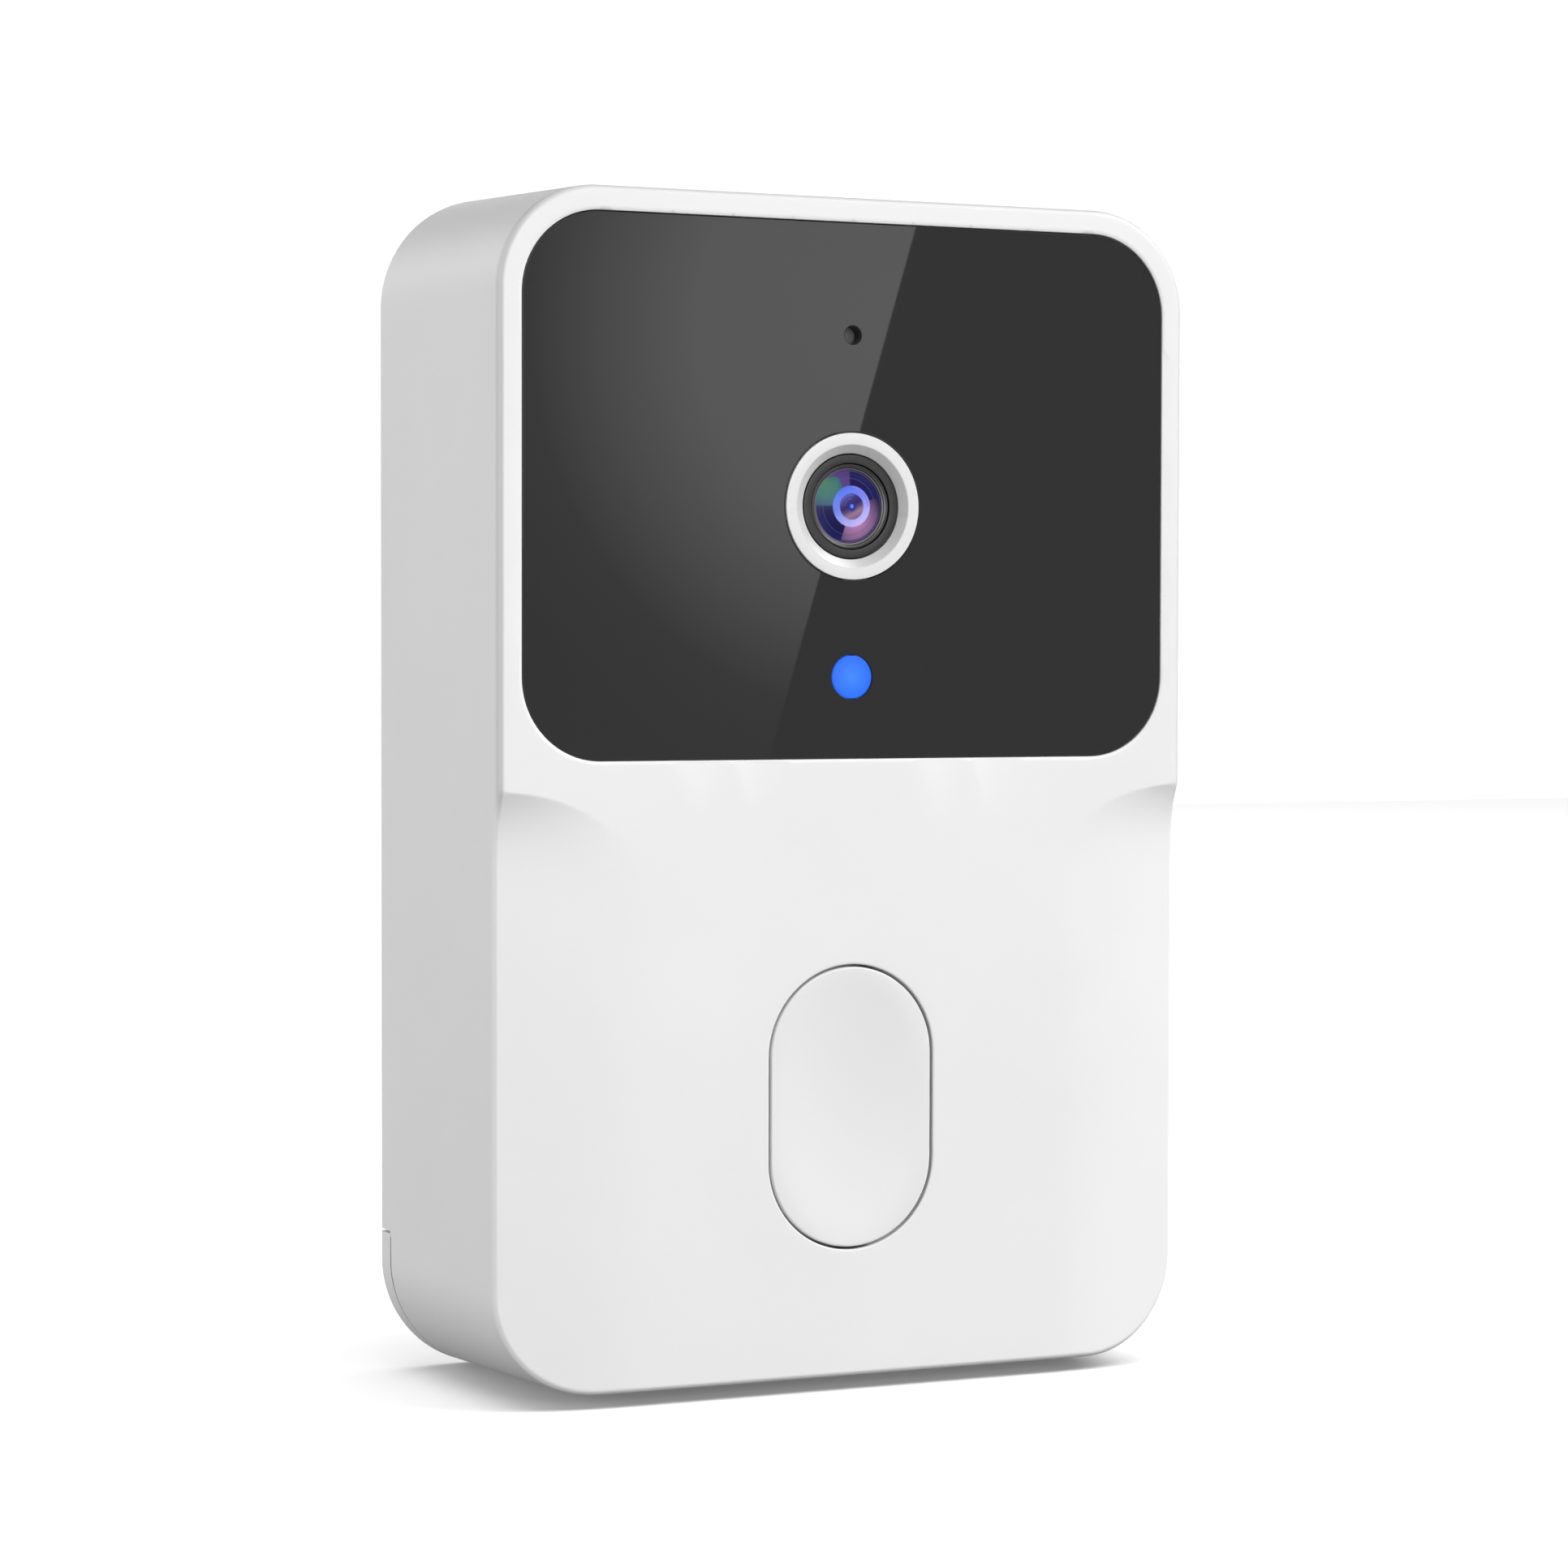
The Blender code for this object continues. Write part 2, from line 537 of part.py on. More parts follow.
def lens_pieces():
    bore = 0.00330
    seat = FRONT + 0.0020
    tube = 0.00240
    front_turned("lens_barrel", [
        (bore, BARREL_FRONT), (BARREL_R, BARREL_FRONT), (BARREL_R, BARREL_REAR), (tube, BARREL_REAR),
        (tube, seat), (bore, seat)], BLACK, 0.0, LENS_Z, 32)
    fit = bore - 0.00008
    ring_front = FRONT + 0.00055
    ring_rear = FRONT + 0.00110
    front_turned("lens_retaining_ring", [
        (0.00300, ring_front), (fit, ring_front), (fit, ring_rear), (0.00282, ring_rear),
        (0.00282, ring_front + 0.00025)], BLACK, 0.0, LENS_Z, 32)
    dome_r = 0.00275
    dome = dome_points(dome_r, FRONT + 0.00060, ring_rear + 0.00005, 5)
    hollow = dome_points(0.0022, FRONT + 0.0014, FRONT + 0.0018, 4)
    front_turned("lens_front_element", dome + [
        (fit, ring_rear + 0.00005), (fit, FRONT + 0.0018)] + hollow[::-1], GLASS, 0.0, LENS_Z, 32)
    slip = tube - 0.00007
    ring("aperture_stop", slip, 0.0010, (FRONT + 0.0022, FRONT + 0.0025), BLACK, 0.0, LENS_Z)
    inner = dome_points(slip, FRONT + 0.0027, FRONT + 0.0033, 4)
    inner_back = dome_points(slip, FRONT + 0.0046, FRONT + 0.0040, 4)
    front_turned("lens_inner_element", inner + inner_back[::-1], GLASS, 0.0, LENS_Z)
    lens_holder()
    box("ir_cut_filter", (-0.0030, 0.0030), (-0.00215, -0.00185), (LENS_Z - 0.0030, LENS_Z + 0.0030), FILTER)
    box("image_sensor", (-0.0032, 0.0032), (-0.0010, -GAP), (LENS_Z - 0.0032, LENS_Z + 0.0032), CHIP)


def dome_points(radius, apex, edge, steps):
    """Points of a shallow dome from the axis at one depth to its rim at another."""
    points = []
    for step in range(steps + 1):
        fraction = step / steps
        points.append((radius * fraction, apex + (edge - apex) * fraction ** 2))
    return points


def lens_holder():
    half = 0.0065
    base_front = -0.0034
    neck_front = -0.0069
    holder = slab("lens_holder", half, (LENS_Z - half, LENS_Z + half), 0.0008, (base_front, -GAP), BLACK, steps=2)
    join(holder, rod("holder_neck", 0.0052, (neck_front, base_front + 0.0005), 0.0, LENS_Z, BLACK, 28, True))
    cut(holder, rod("holder_bore", BARREL_R + 0.0001, (neck_front - 0.001, -0.0026), 0.0, LENS_Z, BLACK, 28, True),
        rod("holder_light_path", 0.0026, (-0.0030, 0.001), 0.0, LENS_Z, BLACK, 20, True),
        box("holder_chamber", (-0.0040, 0.0040), (-0.0022, 0.001), (LENS_Z - 0.0040, LENS_Z + 0.0040),
            BLACK, True))


def light_board_pieces():
    board = slab("light_board", 0.0205, (0.0446, 0.0818), 0.001, (LIGHT_FRONT, LIGHT_REAR), BOARD, steps=2)
    cut(board, rod("light_board_lens_hole", 0.0046, (LIGHT_FRONT - 0.001, LIGHT_REAR + 0.001), 0.0, LENS_Z,
                   BOARD, 24, True),
        *pins("light_board_hole", LIGHT_STAKES, STAKE_R + CLEAR, (LIGHT_FRONT - 0.001, LIGHT_REAR + 0.001),
              BOARD, 10))
    top = LIGHT_FRONT - GAP
    spread_x = 0.0095
    spread_z = 0.0070
    places = [(sx * spread_x, LENS_Z + sz * spread_z) for sz in (1, -1) for sx in (-1, 1)]
    for index, (x, z) in enumerate(places, 1):
        box(f"ir_led_{index}", (x - 0.0014, x + 0.0014), (top - 0.0007, top), (z - 0.00175, z + 0.00175), CERAMIC)
    box("status_led", (-0.0012, 0.0012), (top - 0.0007, top), (STATUS_Z - 0.0014, STATUS_Z + 0.0014), CERAMIC)
    box("light_sensor", (0.0052, 0.0068), (top - 0.0006, top), (MIC_Z - 0.0010, MIC_Z + 0.0010), CHIP)
    rod("status_light_guide", STATUS_R - 0.00006, (PANEL_FRONT + 0.00002, PANEL_BACK + 0.0001), 0.0, STATUS_Z,
        BLUE_LIGHT, 24)
    box("microphone", (-0.0015, 0.0015), (top - 0.0005, top), (MIC_Z - 0.0019, MIC_Z + 0.0019), STEEL)
    ring("microphone_boot", 0.0016, 0.00045, (PANEL_BACK + GAP, top - 0.00055), RUBBER, 0.0, MIC_Z, 16)


# ------------------------------------------------------------------ button and switches
def button_pieces():
    half = BUTTON_WIDTH / 2
    low = BUTTON_Z - BUTTON_HEIGHT / 2
    top = BUTTON_Z + BUTTON_HEIGHT / 2
    flange_front = INNER_FRONT + 0.0002
    flange_rear = flange_front + 0.0008
    lip = 0.0010
    post_end = flange_rear + 0.0016
    cap = slab("button_cap", half, (low, top), half, (FRONT + 0.00005, flange_front + 0.0004), WHITE_GLOSS, steps=8)
    join(cap, slab("button_flange", half + lip, (low - lip, top + lip), half + lip, (flange_front, flange_rear),
                   WHITE_GLOSS, True, steps=8),
         rod("button_post", 0.0020, (flange_rear - 0.0003, post_end), 0.0, BUTTON_Z, WHITE_GLOSS, 16, True))
    cut(cap, dish_cutter())
    stem_front = post_end + GAP
    body_front = stem_front + 0.0007
    body = slab("tact_switch_body", 0.0030, (BUTTON_Z - 0.0030, BUTTON_Z + 0.0030), 0.0005,
                (body_front, KEY_FRONT - GAP), CHIP, steps=2)
    cut(body, rod("stem_well", 0.00175, (body_front - 0.001, KEY_FRONT - 0.0003), 0.0, BUTTON_Z, CHIP, 16, True))
    rod("tact_switch_stem", 0.0016, (stem_front, body_front + 0.0006), 0.0, BUTTON_Z, CERAMIC, 16)
    board = slab("button_board", 0.0090, (0.0111, 0.0303), 0.0008, (KEY_FRONT, KEY_REAR), BOARD, steps=2)
    cut(board, *pins("key_board_hole", KEY_STAKES, STAKE_R + CLEAR, (KEY_FRONT - 0.001, KEY_REAR + 0.001),
                     BOARD, 10))
    front_turned("reset_button", [
        (0.0, 0.00275), (0.0013, 0.00275), (0.0013, 0.0062), (0.0022, 0.0062), (0.0022, 0.0069),
        (0.0013, 0.0069), (0.0013, 0.0086), (0.0, 0.0086)], WHITE, RESET_X, RESET_Z, 18)
    box("reset_switch", (RESET_X - 0.0018, RESET_X + 0.0018), (MAIN_REAR + GAP, 0.0023),
        (RESET_Z - 0.0018, RESET_Z + 0.0018), CHIP)


def dish_cutter():
    """A flattened ball that hollows the button's face to a shallow dish."""
    outside = 0.0015
    flat = BUTTON_DISH + outside
    spread = math.sqrt(1 - (outside / flat) ** 2)
    bm = bmesh.new()
    bmesh.ops.create_uvsphere(bm, u_segments=28, v_segments=24, radius=1.0)
    bmesh.ops.scale(bm, vec=((BUTTON_WIDTH / 2 - 0.0005) / spread, (BUTTON_HEIGHT / 2 - 0.0005) / spread, flat),
                    verts=bm.verts)
    ball = mesh_object("button_dish", bm, WHITE_GLOSS, True)
    ball.rotation_euler = TURN_TO_FRONT
    ball.location = (0.0, FRONT + 0.00005 - outside, BUTTON_Z)
    return ball


# ------------------------------------------------------------------------ main board
def main_board_pieces():
    board = slab("main_board", MAIN_HALF, (MAIN_LOW, MAIN_TOP), 0.001, (MAIN_FRONT, MAIN_REAR), BOARD, steps=2)
    cut(board, *pins("main_board_hole", POSTS, 0.0010, (MAIN_FRONT - 0.001, MAIN_REAR + 0.001), BOARD, 12))
    rear = MAIN_REAR + GAP
    box("soc_chip", (-0.0105, -0.0015), (rear, rear + 0.0010), (0.0690, 0.0780), CHIP)
    box("wifi_shield", (-0.0140, -0.0020), (rear, rear + 0.0018), (0.0510, 0.0610), STEEL, bevel=0.0003)
    box("chip_antenna", (0.0060, 0.0120), (-0.0010, -GAP), (0.0825, 0.0845), CERAMIC)


# ---------------------------------------------------------------------------- speaker
def speaker_pieces():
    place = (0.0, SPEAKER_Y, 0.0)
    gasket_low = WALL + GAP
    gasket_top = gasket_low + 0.0005
    rim = SPEAKER_R
    turned("speaker_gasket", [(rim, gasket_top), (rim, gasket_low), (0.0054, gasket_low), (0.0054, gasket_top)],
           RUBBER, place, UPRIGHT)
    low = gasket_top + GAP
    top = low + 0.0033
    wall = 0.0004
    turned("speaker_basket", [(0.0, top), (rim - 0.0010, top), (rim, top - 0.0010), (rim, low), (rim - wall, low),
                              (rim - wall, top - 0.0012), (rim - 0.0014, top - wall), (0.0, top - wall)],
           STEEL, place, UPRIGHT)
    edge = rim - wall - 0.0001
    turned("speaker_cone", [(0.0, low + 0.0010), (0.0022, low + 0.0008), (0.0045, low + 0.0004),
                            (edge, low + 0.0003), (edge, low + 0.0001), (0.0045, low + 0.0002),
                            (0.0022, low + 0.0006), (0.0, low + 0.0008)], PAPER, place, UPRIGHT)
    turned("speaker_magnet", [(0.0, top - wall - GAP), (0.0035, top - wall - GAP), (0.0035, low + 0.0013),
                              (0.0, low + 0.0013)], STEEL, place, UPRIGHT)


# -------------------------------------------------------------------- cells and contacts
PLATE_INNER = 0.02515        # contact plates stand just inside the bay's end walls
PLATE_OUTER = 0.02555


def battery_pieces():
    nipple_r = 0.0018
    nipple = 0.0008
    shoulder = 0.0003
    tip = PLATE_INNER - 0.0002
    for index in range(3):
        z = CELL_LOW + index * CELL_PITCH
        side = 1 if index % 2 == 0 else -1
        length = CELL_LENGTH
        profile = [(0.0, 0.0), (nipple_r, 0.0), (nipple_r, -nipple), (CELL_R - shoulder, -nipple),
                   (CELL_R, -nipple - shoulder), (CELL_R, -length + shoulder), (CELL_R - shoulder, -length),
                   (0.0, -length)]
        turn = TURN_TO_RIGHT if side > 0 else TURN_TO_LEFT
        turned(f"battery_cell_{index + 1}", profile, CELL, (side * tip, CELL_Y, z), turn, 24)
        battery_spring(f"battery_spring_{index + 1}", -side, z, tip - CELL_LENGTH)
    contact("battery_contact_negative", -1, (CELL_LOW, CELL_LOW), True)
    contact("battery_contact_positive", 1, (CELL_LOW + 2 * CELL_PITCH, CELL_LOW + 2 * CELL_PITCH), True)
    contact("battery_bridge_1", 1, (CELL_LOW, CELL_LOW + CELL_PITCH), False)
    contact("battery_bridge_2", -1, (CELL_LOW + CELL_PITCH, CELL_LOW + 2 * CELL_PITCH), False)


def contact(name, side, heights, tab):
    """A sprung sheet contact at one end of the bay; an end contact has a solder tab."""
    half = 0.0034
    x = sorted((side * PLATE_INNER, side * PLATE_OUTER))
    plate = box(name, x, (-0.0019, 0.0080), (heights[0] - half, heights[1] + half), BRASS)
    if tab:
        z = heights[0]
        join(plate, box(f"{name}_tab", x, (-0.0039, -0.0015), (z - 0.0005, z + 0.0005), BRASS, True))
    return plate


def battery_spring(name, side, z, cell_end):
    """A conical wire spring from the contact plate to the flat end of the cell."""
    wire_r = 0.0003
    start = PLATE_INNER - GAP - wire_r
    end = abs(cell_end) + 0.0001 + wire_r
    turns = 3
    steps = 12
    big = 0.0040
    small = 0.0024
    points = []
    for step in range(turns * steps + 1):
        fraction = step / (turns * steps)
        angle = 2 * math.pi * step / steps
        radius = big + (small - big) * fraction
        points.append((side * (start + (end - start) * fraction),
                       CELL_Y + radius * math.cos(angle), z + radius * math.sin(angle)))
    return wire(name, points, wire_r, STEEL)


# ----------------------------------------------------------------------- internal leads
def leads():
    """Insulated leads held inside the body, soldered at both ends."""
    radius = 0.00045
    board = MAIN_FRONT - radius - 0.0003
    tab_end = -0.0039 - radius - GAP
    tab_x = (PLATE_INNER + PLATE_OUTER) / 2
    high = CELL_LOW + 2 * CELL_PITCH
    wire("battery_lead_negative", [
        (-tab_x, tab_end, CELL_LOW - 0.0004), (-0.0248, -0.0048, 0.0200), (-0.0240, -0.0050, 0.0300),
        (-0.0240, -0.0048, 0.0410), (-0.0225, -0.0035, 0.0460), (-0.0170, board, 0.0482),
        (-0.0150, board, 0.0486)], radius, BLACK_WIRE, 4)
    wire("battery_lead_positive", [
        (tab_x, tab_end, high - 0.0004), (0.0246, -0.0048, 0.0410), (0.0222, -0.0036, 0.0455),
        (0.0160, board, 0.0476), (0.0140, board, 0.0478)], radius, RED_WIRE, 4)
    wire("button_lead", [
        (-0.0050, KEY_FRONT - radius - GAP, 0.0285), (-0.0050, -0.0056, 0.0310), (-0.0050, -0.0050, 0.0360),
        (-0.0050, -0.0048, 0.0420), (-0.0050, -0.0030, 0.0462), (-0.0050, board, 0.0485),
        (-0.0050, board, 0.0500)], radius, BLACK_WIRE, 4)
    wire("speaker_lead", [
        (0.0030, SPEAKER_Y, 0.0063), (0.0070, -0.0035, 0.0080), (0.0112, -0.0050, 0.0105),
        (0.0122, -0.0048, 0.0160), (0.0122, -0.0046, 0.0280), (0.0122, -0.0046, 0.0400),
        (0.0110, -0.0030, 0.0462), (0.0090, board, 0.0485), (0.0080, board, 0.0500)], radius, RED_WIRE, 4)


front_housing()
rear_chassis()
rear_cover()
fasteners()
window_pieces()
lens_pieces()
light_board_pieces()
button_pieces()
main_board_pieces()
speaker_pieces()
battery_pieces()
leads()
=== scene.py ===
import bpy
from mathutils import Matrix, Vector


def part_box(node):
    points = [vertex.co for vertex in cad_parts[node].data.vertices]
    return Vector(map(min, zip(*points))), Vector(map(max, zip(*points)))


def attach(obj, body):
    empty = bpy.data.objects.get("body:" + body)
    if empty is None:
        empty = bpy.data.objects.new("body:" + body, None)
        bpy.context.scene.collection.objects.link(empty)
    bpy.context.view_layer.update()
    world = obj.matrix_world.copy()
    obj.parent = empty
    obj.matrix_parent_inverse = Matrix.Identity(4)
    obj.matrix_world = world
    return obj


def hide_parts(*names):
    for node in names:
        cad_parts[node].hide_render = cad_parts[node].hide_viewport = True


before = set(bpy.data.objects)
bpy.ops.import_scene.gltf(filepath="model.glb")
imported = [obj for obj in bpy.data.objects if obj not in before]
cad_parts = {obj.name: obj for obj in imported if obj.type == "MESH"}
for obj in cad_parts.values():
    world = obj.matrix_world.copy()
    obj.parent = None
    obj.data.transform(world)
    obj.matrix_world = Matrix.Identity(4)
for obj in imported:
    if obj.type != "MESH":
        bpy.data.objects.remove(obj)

"""Looks of the battery video doorbell: fine surfaces, materials and a white studio.

Everything is in metres in the CAD's frame: X across, -Y to the front, +Z up.
"""
import math

import bmesh
import bpy
from mathutils import Matrix, Quaternion, Vector
from mathutils.geometry import delaunay_2d_cdt

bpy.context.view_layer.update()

# ---- places from the frame
BODY_LOW, BODY_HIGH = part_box("front_housing")
FRONT = BODY_LOW.y
REAR = BODY_HIGH.y
DEPTH = REAR - FRONT
DRAFT = 0.0011               # how far the rear outline stands outside the front face
HALF = 0.0287                # half the front face's width
LOW = DRAFT
TOP = LOW + 0.0900
CORNER = 0.0078
FRONT_EDGE = 0.00042
REAR_EDGE = 0.0004
WALL = 0.0018
FRONT_WALL = 0.0023
INNER_HALF = HALF - WALL
INNER_CORNER = CORNER - WALL
INNER_FRONT = FRONT + FRONT_WALL

# Two scoops set the face's sides back below the window: setback at the side, width across,
# lowest height, rise above it, and the powers that shape the fall and the crest.
SCOOP_SETBACK = 0.00125
SCOOP_WIDTH = 0.0115
SCOOP_LOW = LOW + 0.0370
SCOOP_RISE = 0.0081
SCOOP_FALL = 1.6
SCOOP_CREST = 4.0

PANEL_LOW, PANEL_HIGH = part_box("front_panel")
PANEL_CORNER = 0.0062
PANEL_MARGIN = 0.00005       # gap round the panel in its pocket
OPENING_HALF = 0.0213        # opening behind the panel, for the lens and the lights
OPENING_LOW = LOW + 0.0495
OPENING_TOP = LOW + 0.0820
POCKET_FLOOR = PANEL_HIGH.y + 0.00028
BEZEL_LOW, BEZEL_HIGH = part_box("lens_bezel")
LENS_Z = (BEZEL_LOW.z + BEZEL_HIGH.z) / 2
BEZEL_R = 0.00558
BARREL_LOW, BARREL_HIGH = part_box("lens_barrel")
BARREL_R = BARREL_HIGH.x
GUIDE_LOW, GUIDE_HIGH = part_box("status_light_guide")
STATUS_Z = (GUIDE_LOW.z + GUIDE_HIGH.z) / 2
STATUS_R = 0.0017
BOOT_LOW, BOOT_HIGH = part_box("microphone_boot")
MIC_Z = (BOOT_LOW.z + BOOT_HIGH.z) / 2
MIC_R = 0.0007
RING_SHIFT = 0.18            # how far right the lens's inner ring stands, in millimetres

CAP_LOW, CAP_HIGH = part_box("button_cap")
BUTTON_LIP = 0.0010          # flange behind the face
BUTTON_HALF = CAP_HIGH.x - BUTTON_LIP
BUTTON_LOW = CAP_LOW.z + BUTTON_LIP
BUTTON_TOP = CAP_HIGH.z - BUTTON_LIP
BUTTON_Z = (CAP_LOW.z + CAP_HIGH.z) / 2
BUTTON_GAP = 0.0002
BUTTON_DISH = 0.0005

COVER_LOW, COVER_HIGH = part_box("rear_cover")
COVER_FRONT = REAR - 0.0021
COVER_STEP = LOW + 0.00985   # top of the cover's full-width lower band
COVER_GAP = 0.0002           # seam round the lower band
PLATE_GAP = 0.0001           # seam round the plate
FOOT_GAP = 0.00015           # gap round the foot
FOOT_HALF = 0.0050
FOOT_FRONT = COVER_LOW.y
FOOT_TOP = LOW + 0.0027
RAIL_TOP = LOW + 0.0800
WALL_HOLES = (LOW + 0.0245, LOW + 0.0730)
SCREW_LOW, SCREW_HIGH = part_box("cover_screw")
COVER_SCREW_Y = (SCREW_LOW.y + SCREW_HIGH.y) / 2
SPEAKER_LOW, SPEAKER_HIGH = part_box("speaker_basket")
SPEAKER_Y = (SPEAKER_LOW.y + SPEAKER_HIGH.y) / 2
GRILLE_R = 0.0008
GRILLE_PITCH = 0.0030

RIM = 0.00012                # rounding of a moulded hole's mouth
PAST = 0.001                 # how far a cutter runs past the surface it cuts
SHARP = math.radians(32)     # edges steeper than this stay sharp
OUTLINE_STEPS = 28           # steps round each corner of the body

# Points along the body's lower edge, close together beside the ends of the cover's seam.
SEAM_POINTS = (0.0172, 0.0182, 0.0191, 0.0198, 0.0204)
BOTTOM_POINTS = (*(-x for x in SEAM_POINTS[::-1]), 0.0, *SEAM_POINTS)

# ---- studio values
CAMERA_AZIMUTH = math.radians(-24.65)
CAMERA_ELEVATION = math.radians(1.93)
CAMERA_ROLL = math.radians(0.117)
CAMERA_DISTANCE = 0.3236
CAMERA_LENS = 94.07
CAMERA_SHIFT = (-0.0022, 0.0005)
AIM = Vector((0.0, 0.0, (LOW + TOP) / 2))
SHEEN_BRIGHT = 0.48
SHEEN_STRENGTH = 4.0
SHEEN_REACH = 0.24           # how far the card's glow falls off from its brightest point
WORLD_BELOW = 0.238
WORLD_ABOVE = 0.0
FLOOR_LIGHT = 2.8
BACKDROP_GLOW = 1.1


# ---- node helpers
def new_material(name, **inputs):
    """A Principled material with constant values set on the shader's own sockets."""
    made = bpy.data.materials.new(name)
    made.use_nodes = True
    shader = made.node_tree.nodes["Principled BSDF"]
    for label, value in inputs.items():
        shader.inputs[label.replace("_", " ")].default_value = value
    return made


def add(tree, kind, inputs=None, **settings):
    """A node with its settings and input values; an input may be another node's output."""
    node = tree.nodes.new(kind)
    for name, value in settings.items():
        setattr(node, name, value)
    for key, value in (inputs or {}).items():
        if isinstance(value, bpy.types.NodeSocket):
            tree.links.new(value, node.inputs[key])
        else:
            node.inputs[key].default_value = value
    return node


def feed(made, label, value):
    """Drive a shader input from a node's output."""
    made.node_tree.links.new(value, made.node_tree.nodes["Principled BSDF"].inputs[label])


def coordinates(tree):
    return add(tree, "ShaderNodeTexCoord").outputs["Object"]


def noise(tree, where, scale, detail=3.0, rough=0.55):
    return add(tree, "ShaderNodeTexNoise", {"Vector": where, "Scale": scale, "Detail": detail,
                                            "Roughness": rough}).outputs["Fac"]


def ramp(tree, value, stops):
    """A colour ramp through (position, grey or colour) stops."""
    node = add(tree, "ShaderNodeValToRGB", {"Fac": value})
    elements = node.color_ramp.elements
    while len(elements) < len(stops):
        elements.new(0.5)
    for element, (position, colour) in zip(elements, stops):
        element.position = position
        element.color = (colour,) * 3 + (1.0,) if isinstance(colour, float) else (*colour, 1.0)
    return node.outputs["Color"]


def mapped(tree, value, start, end, low=0.0, high=1.0, **settings):
    """A value between start and end carried over to low to high, and held beyond them."""
    values = {"Value": value, "From Min": start, "From Max": end, "To Min": low, "To Max": high}
    return add(tree, "ShaderNodeMapRange", values, **settings).outputs["Result"]


def spread(tree, value, low, high):
    """A value from 0..1 mapped to a range."""
    return mapped(tree, value, 0.0, 1.0, low, high)


def calc(tree, operation, first, second=0.0, third=0.0):
    return add(tree, "ShaderNodeMath", {0: first, 1: second, 2: third}, operation=operation).outputs[0]


def distance_from(tree, centre_x, centre_z):
    """Distance from an axis that runs front to back."""
    split = add(tree, "ShaderNodeSeparateXYZ", {"Vector": coordinates(tree)})
    across = calc(tree, "SUBTRACT", split.outputs["X"], centre_x)
    rise = calc(tree, "SUBTRACT", split.outputs["Z"], centre_z)
    return hypotenuse(tree, across, rise)


def hypotenuse(tree, first, second):
    squares = (calc(tree, "MULTIPLY", side, side) for side in (first, second))
    return calc(tree, "SQRT", calc(tree, "ADD", *squares))


def bump(made, height, distance, strength=1.0):
    node = add(made.node_tree, "ShaderNodeBump", {"Height": height, "Distance": distance,
                                                  "Strength": strength})
    feed(made, "Normal", node.outputs["Normal"])


def moulded(name, colour, roughness, grain_size, grain_depth, tint=0.012, specular=0.5):
    """Moulded plastic: a spark-eroded grain, slow colour variation and uneven gloss."""
    made = new_material(name, Specular_IOR_Level=specular)
    tree = made.node_tree
    where = coordinates(tree)
    slow = noise(tree, where, 60.0, 2.0)
    low = tuple(max(c - tint, 0.0) for c in colour)
    high = tuple(min(c + tint, 1.0) for c in colour)
    feed(made, "Base Color", ramp(tree, slow, [(0.3, low), (0.7, high)]))
    feed(made, "Roughness", spread(tree, noise(tree, where, 900.0), roughness - 0.05, roughness + 0.05))
    bump(made, noise(tree, where, 1.0 / grain_size, 2.0, 0.6), grain_depth)
    return made


# ---- materials
def srgb(*values):
    """Linear colour from 0..255 screen values."""
    linear = [v / 255 / 12.92 if v <= 10 else ((v / 255 + 0.055) / 1.055) ** 2.4 for v in values]
    return tuple(linear) if len(linear) > 1 else (linear[0],) * 3


WHITE = moulded("white_plastic", (0.82, 0.82, 0.822), 0.46, 0.00022, 0.000003)
COVER_WHITE = moulded("cover_white_plastic", (0.81, 0.81, 0.812), 0.5, 0.00028, 0.000005)
BUTTON_WHITE = moulded("button_white_plastic", (0.80, 0.80, 0.805), 0.34, 0.0004, 0.0000008, 0.006)
SWITCH_WHITE = moulded("switch_white_plastic", (0.78, 0.78, 0.78), 0.35, 0.0003, 0.000002, 0.01)
CHASSIS_BLACK = moulded("chassis_black_plastic", (0.028, 0.028, 0.03), 0.5, 0.0003, 0.000006, 0.004)
BARREL_BLACK = moulded("barrel_black", (0.022, 0.022, 0.022), 0.42, 0.00015, 0.000002, 0.004)
BOOT_RUBBER = moulded("boot_grey_rubber", (0.14, 0.14, 0.14), 0.8, 0.0001, 0.000003, 0.01, 0.3)
RUBBER = moulded("soft_rubber", (0.030, 0.030, 0.031), 0.75, 0.0002, 0.000006, 0.005, 0.3)


def paint_front_edge_shade(made):
    """Painted shade: darken a plastic along the rounded edge of the front face."""
    tree = made.node_tree
    split = add(tree, "ShaderNodeSeparateXYZ", {"Vector": coordinates(tree)})
    middle = (LOW + TOP) / 2
    across = calc(tree, "ABSOLUTE", split.outputs["X"])
    across = calc(tree, "SUBTRACT", across, HALF - CORNER)
    along = calc(tree, "ABSOLUTE", calc(tree, "SUBTRACT", split.outputs["Z"], middle))
    along = calc(tree, "SUBTRACT", along, TOP - CORNER - middle)
    reach = hypotenuse(tree, *(calc(tree, "MAXIMUM", side, 0.0) for side in (across, along)))
    outer = mapped(tree, reach, CORNER - FRONT_EDGE, CORNER - FRONT_EDGE * 0.4)
    shallow = mapped(tree, split.outputs["Y"], FRONT + FRONT_EDGE * 2.2, FRONT + FRONT_EDGE * 1.1)
    # Painted shade: the base colour falls to 0.8 on the outer part of the front edge's rounding.
    painted_edge_shade = spread(tree, calc(tree, "MULTIPLY", outer, shallow), 1.0, 0.80)
    colour = tree.nodes["Principled BSDF"].inputs["Base Color"].links[0].from_socket
    scaled = add(tree, "ShaderNodeVectorMath", {0: colour, "Scale": painted_edge_shade}, operation="SCALE")
    feed(made, "Base Color", scaled.outputs[0])


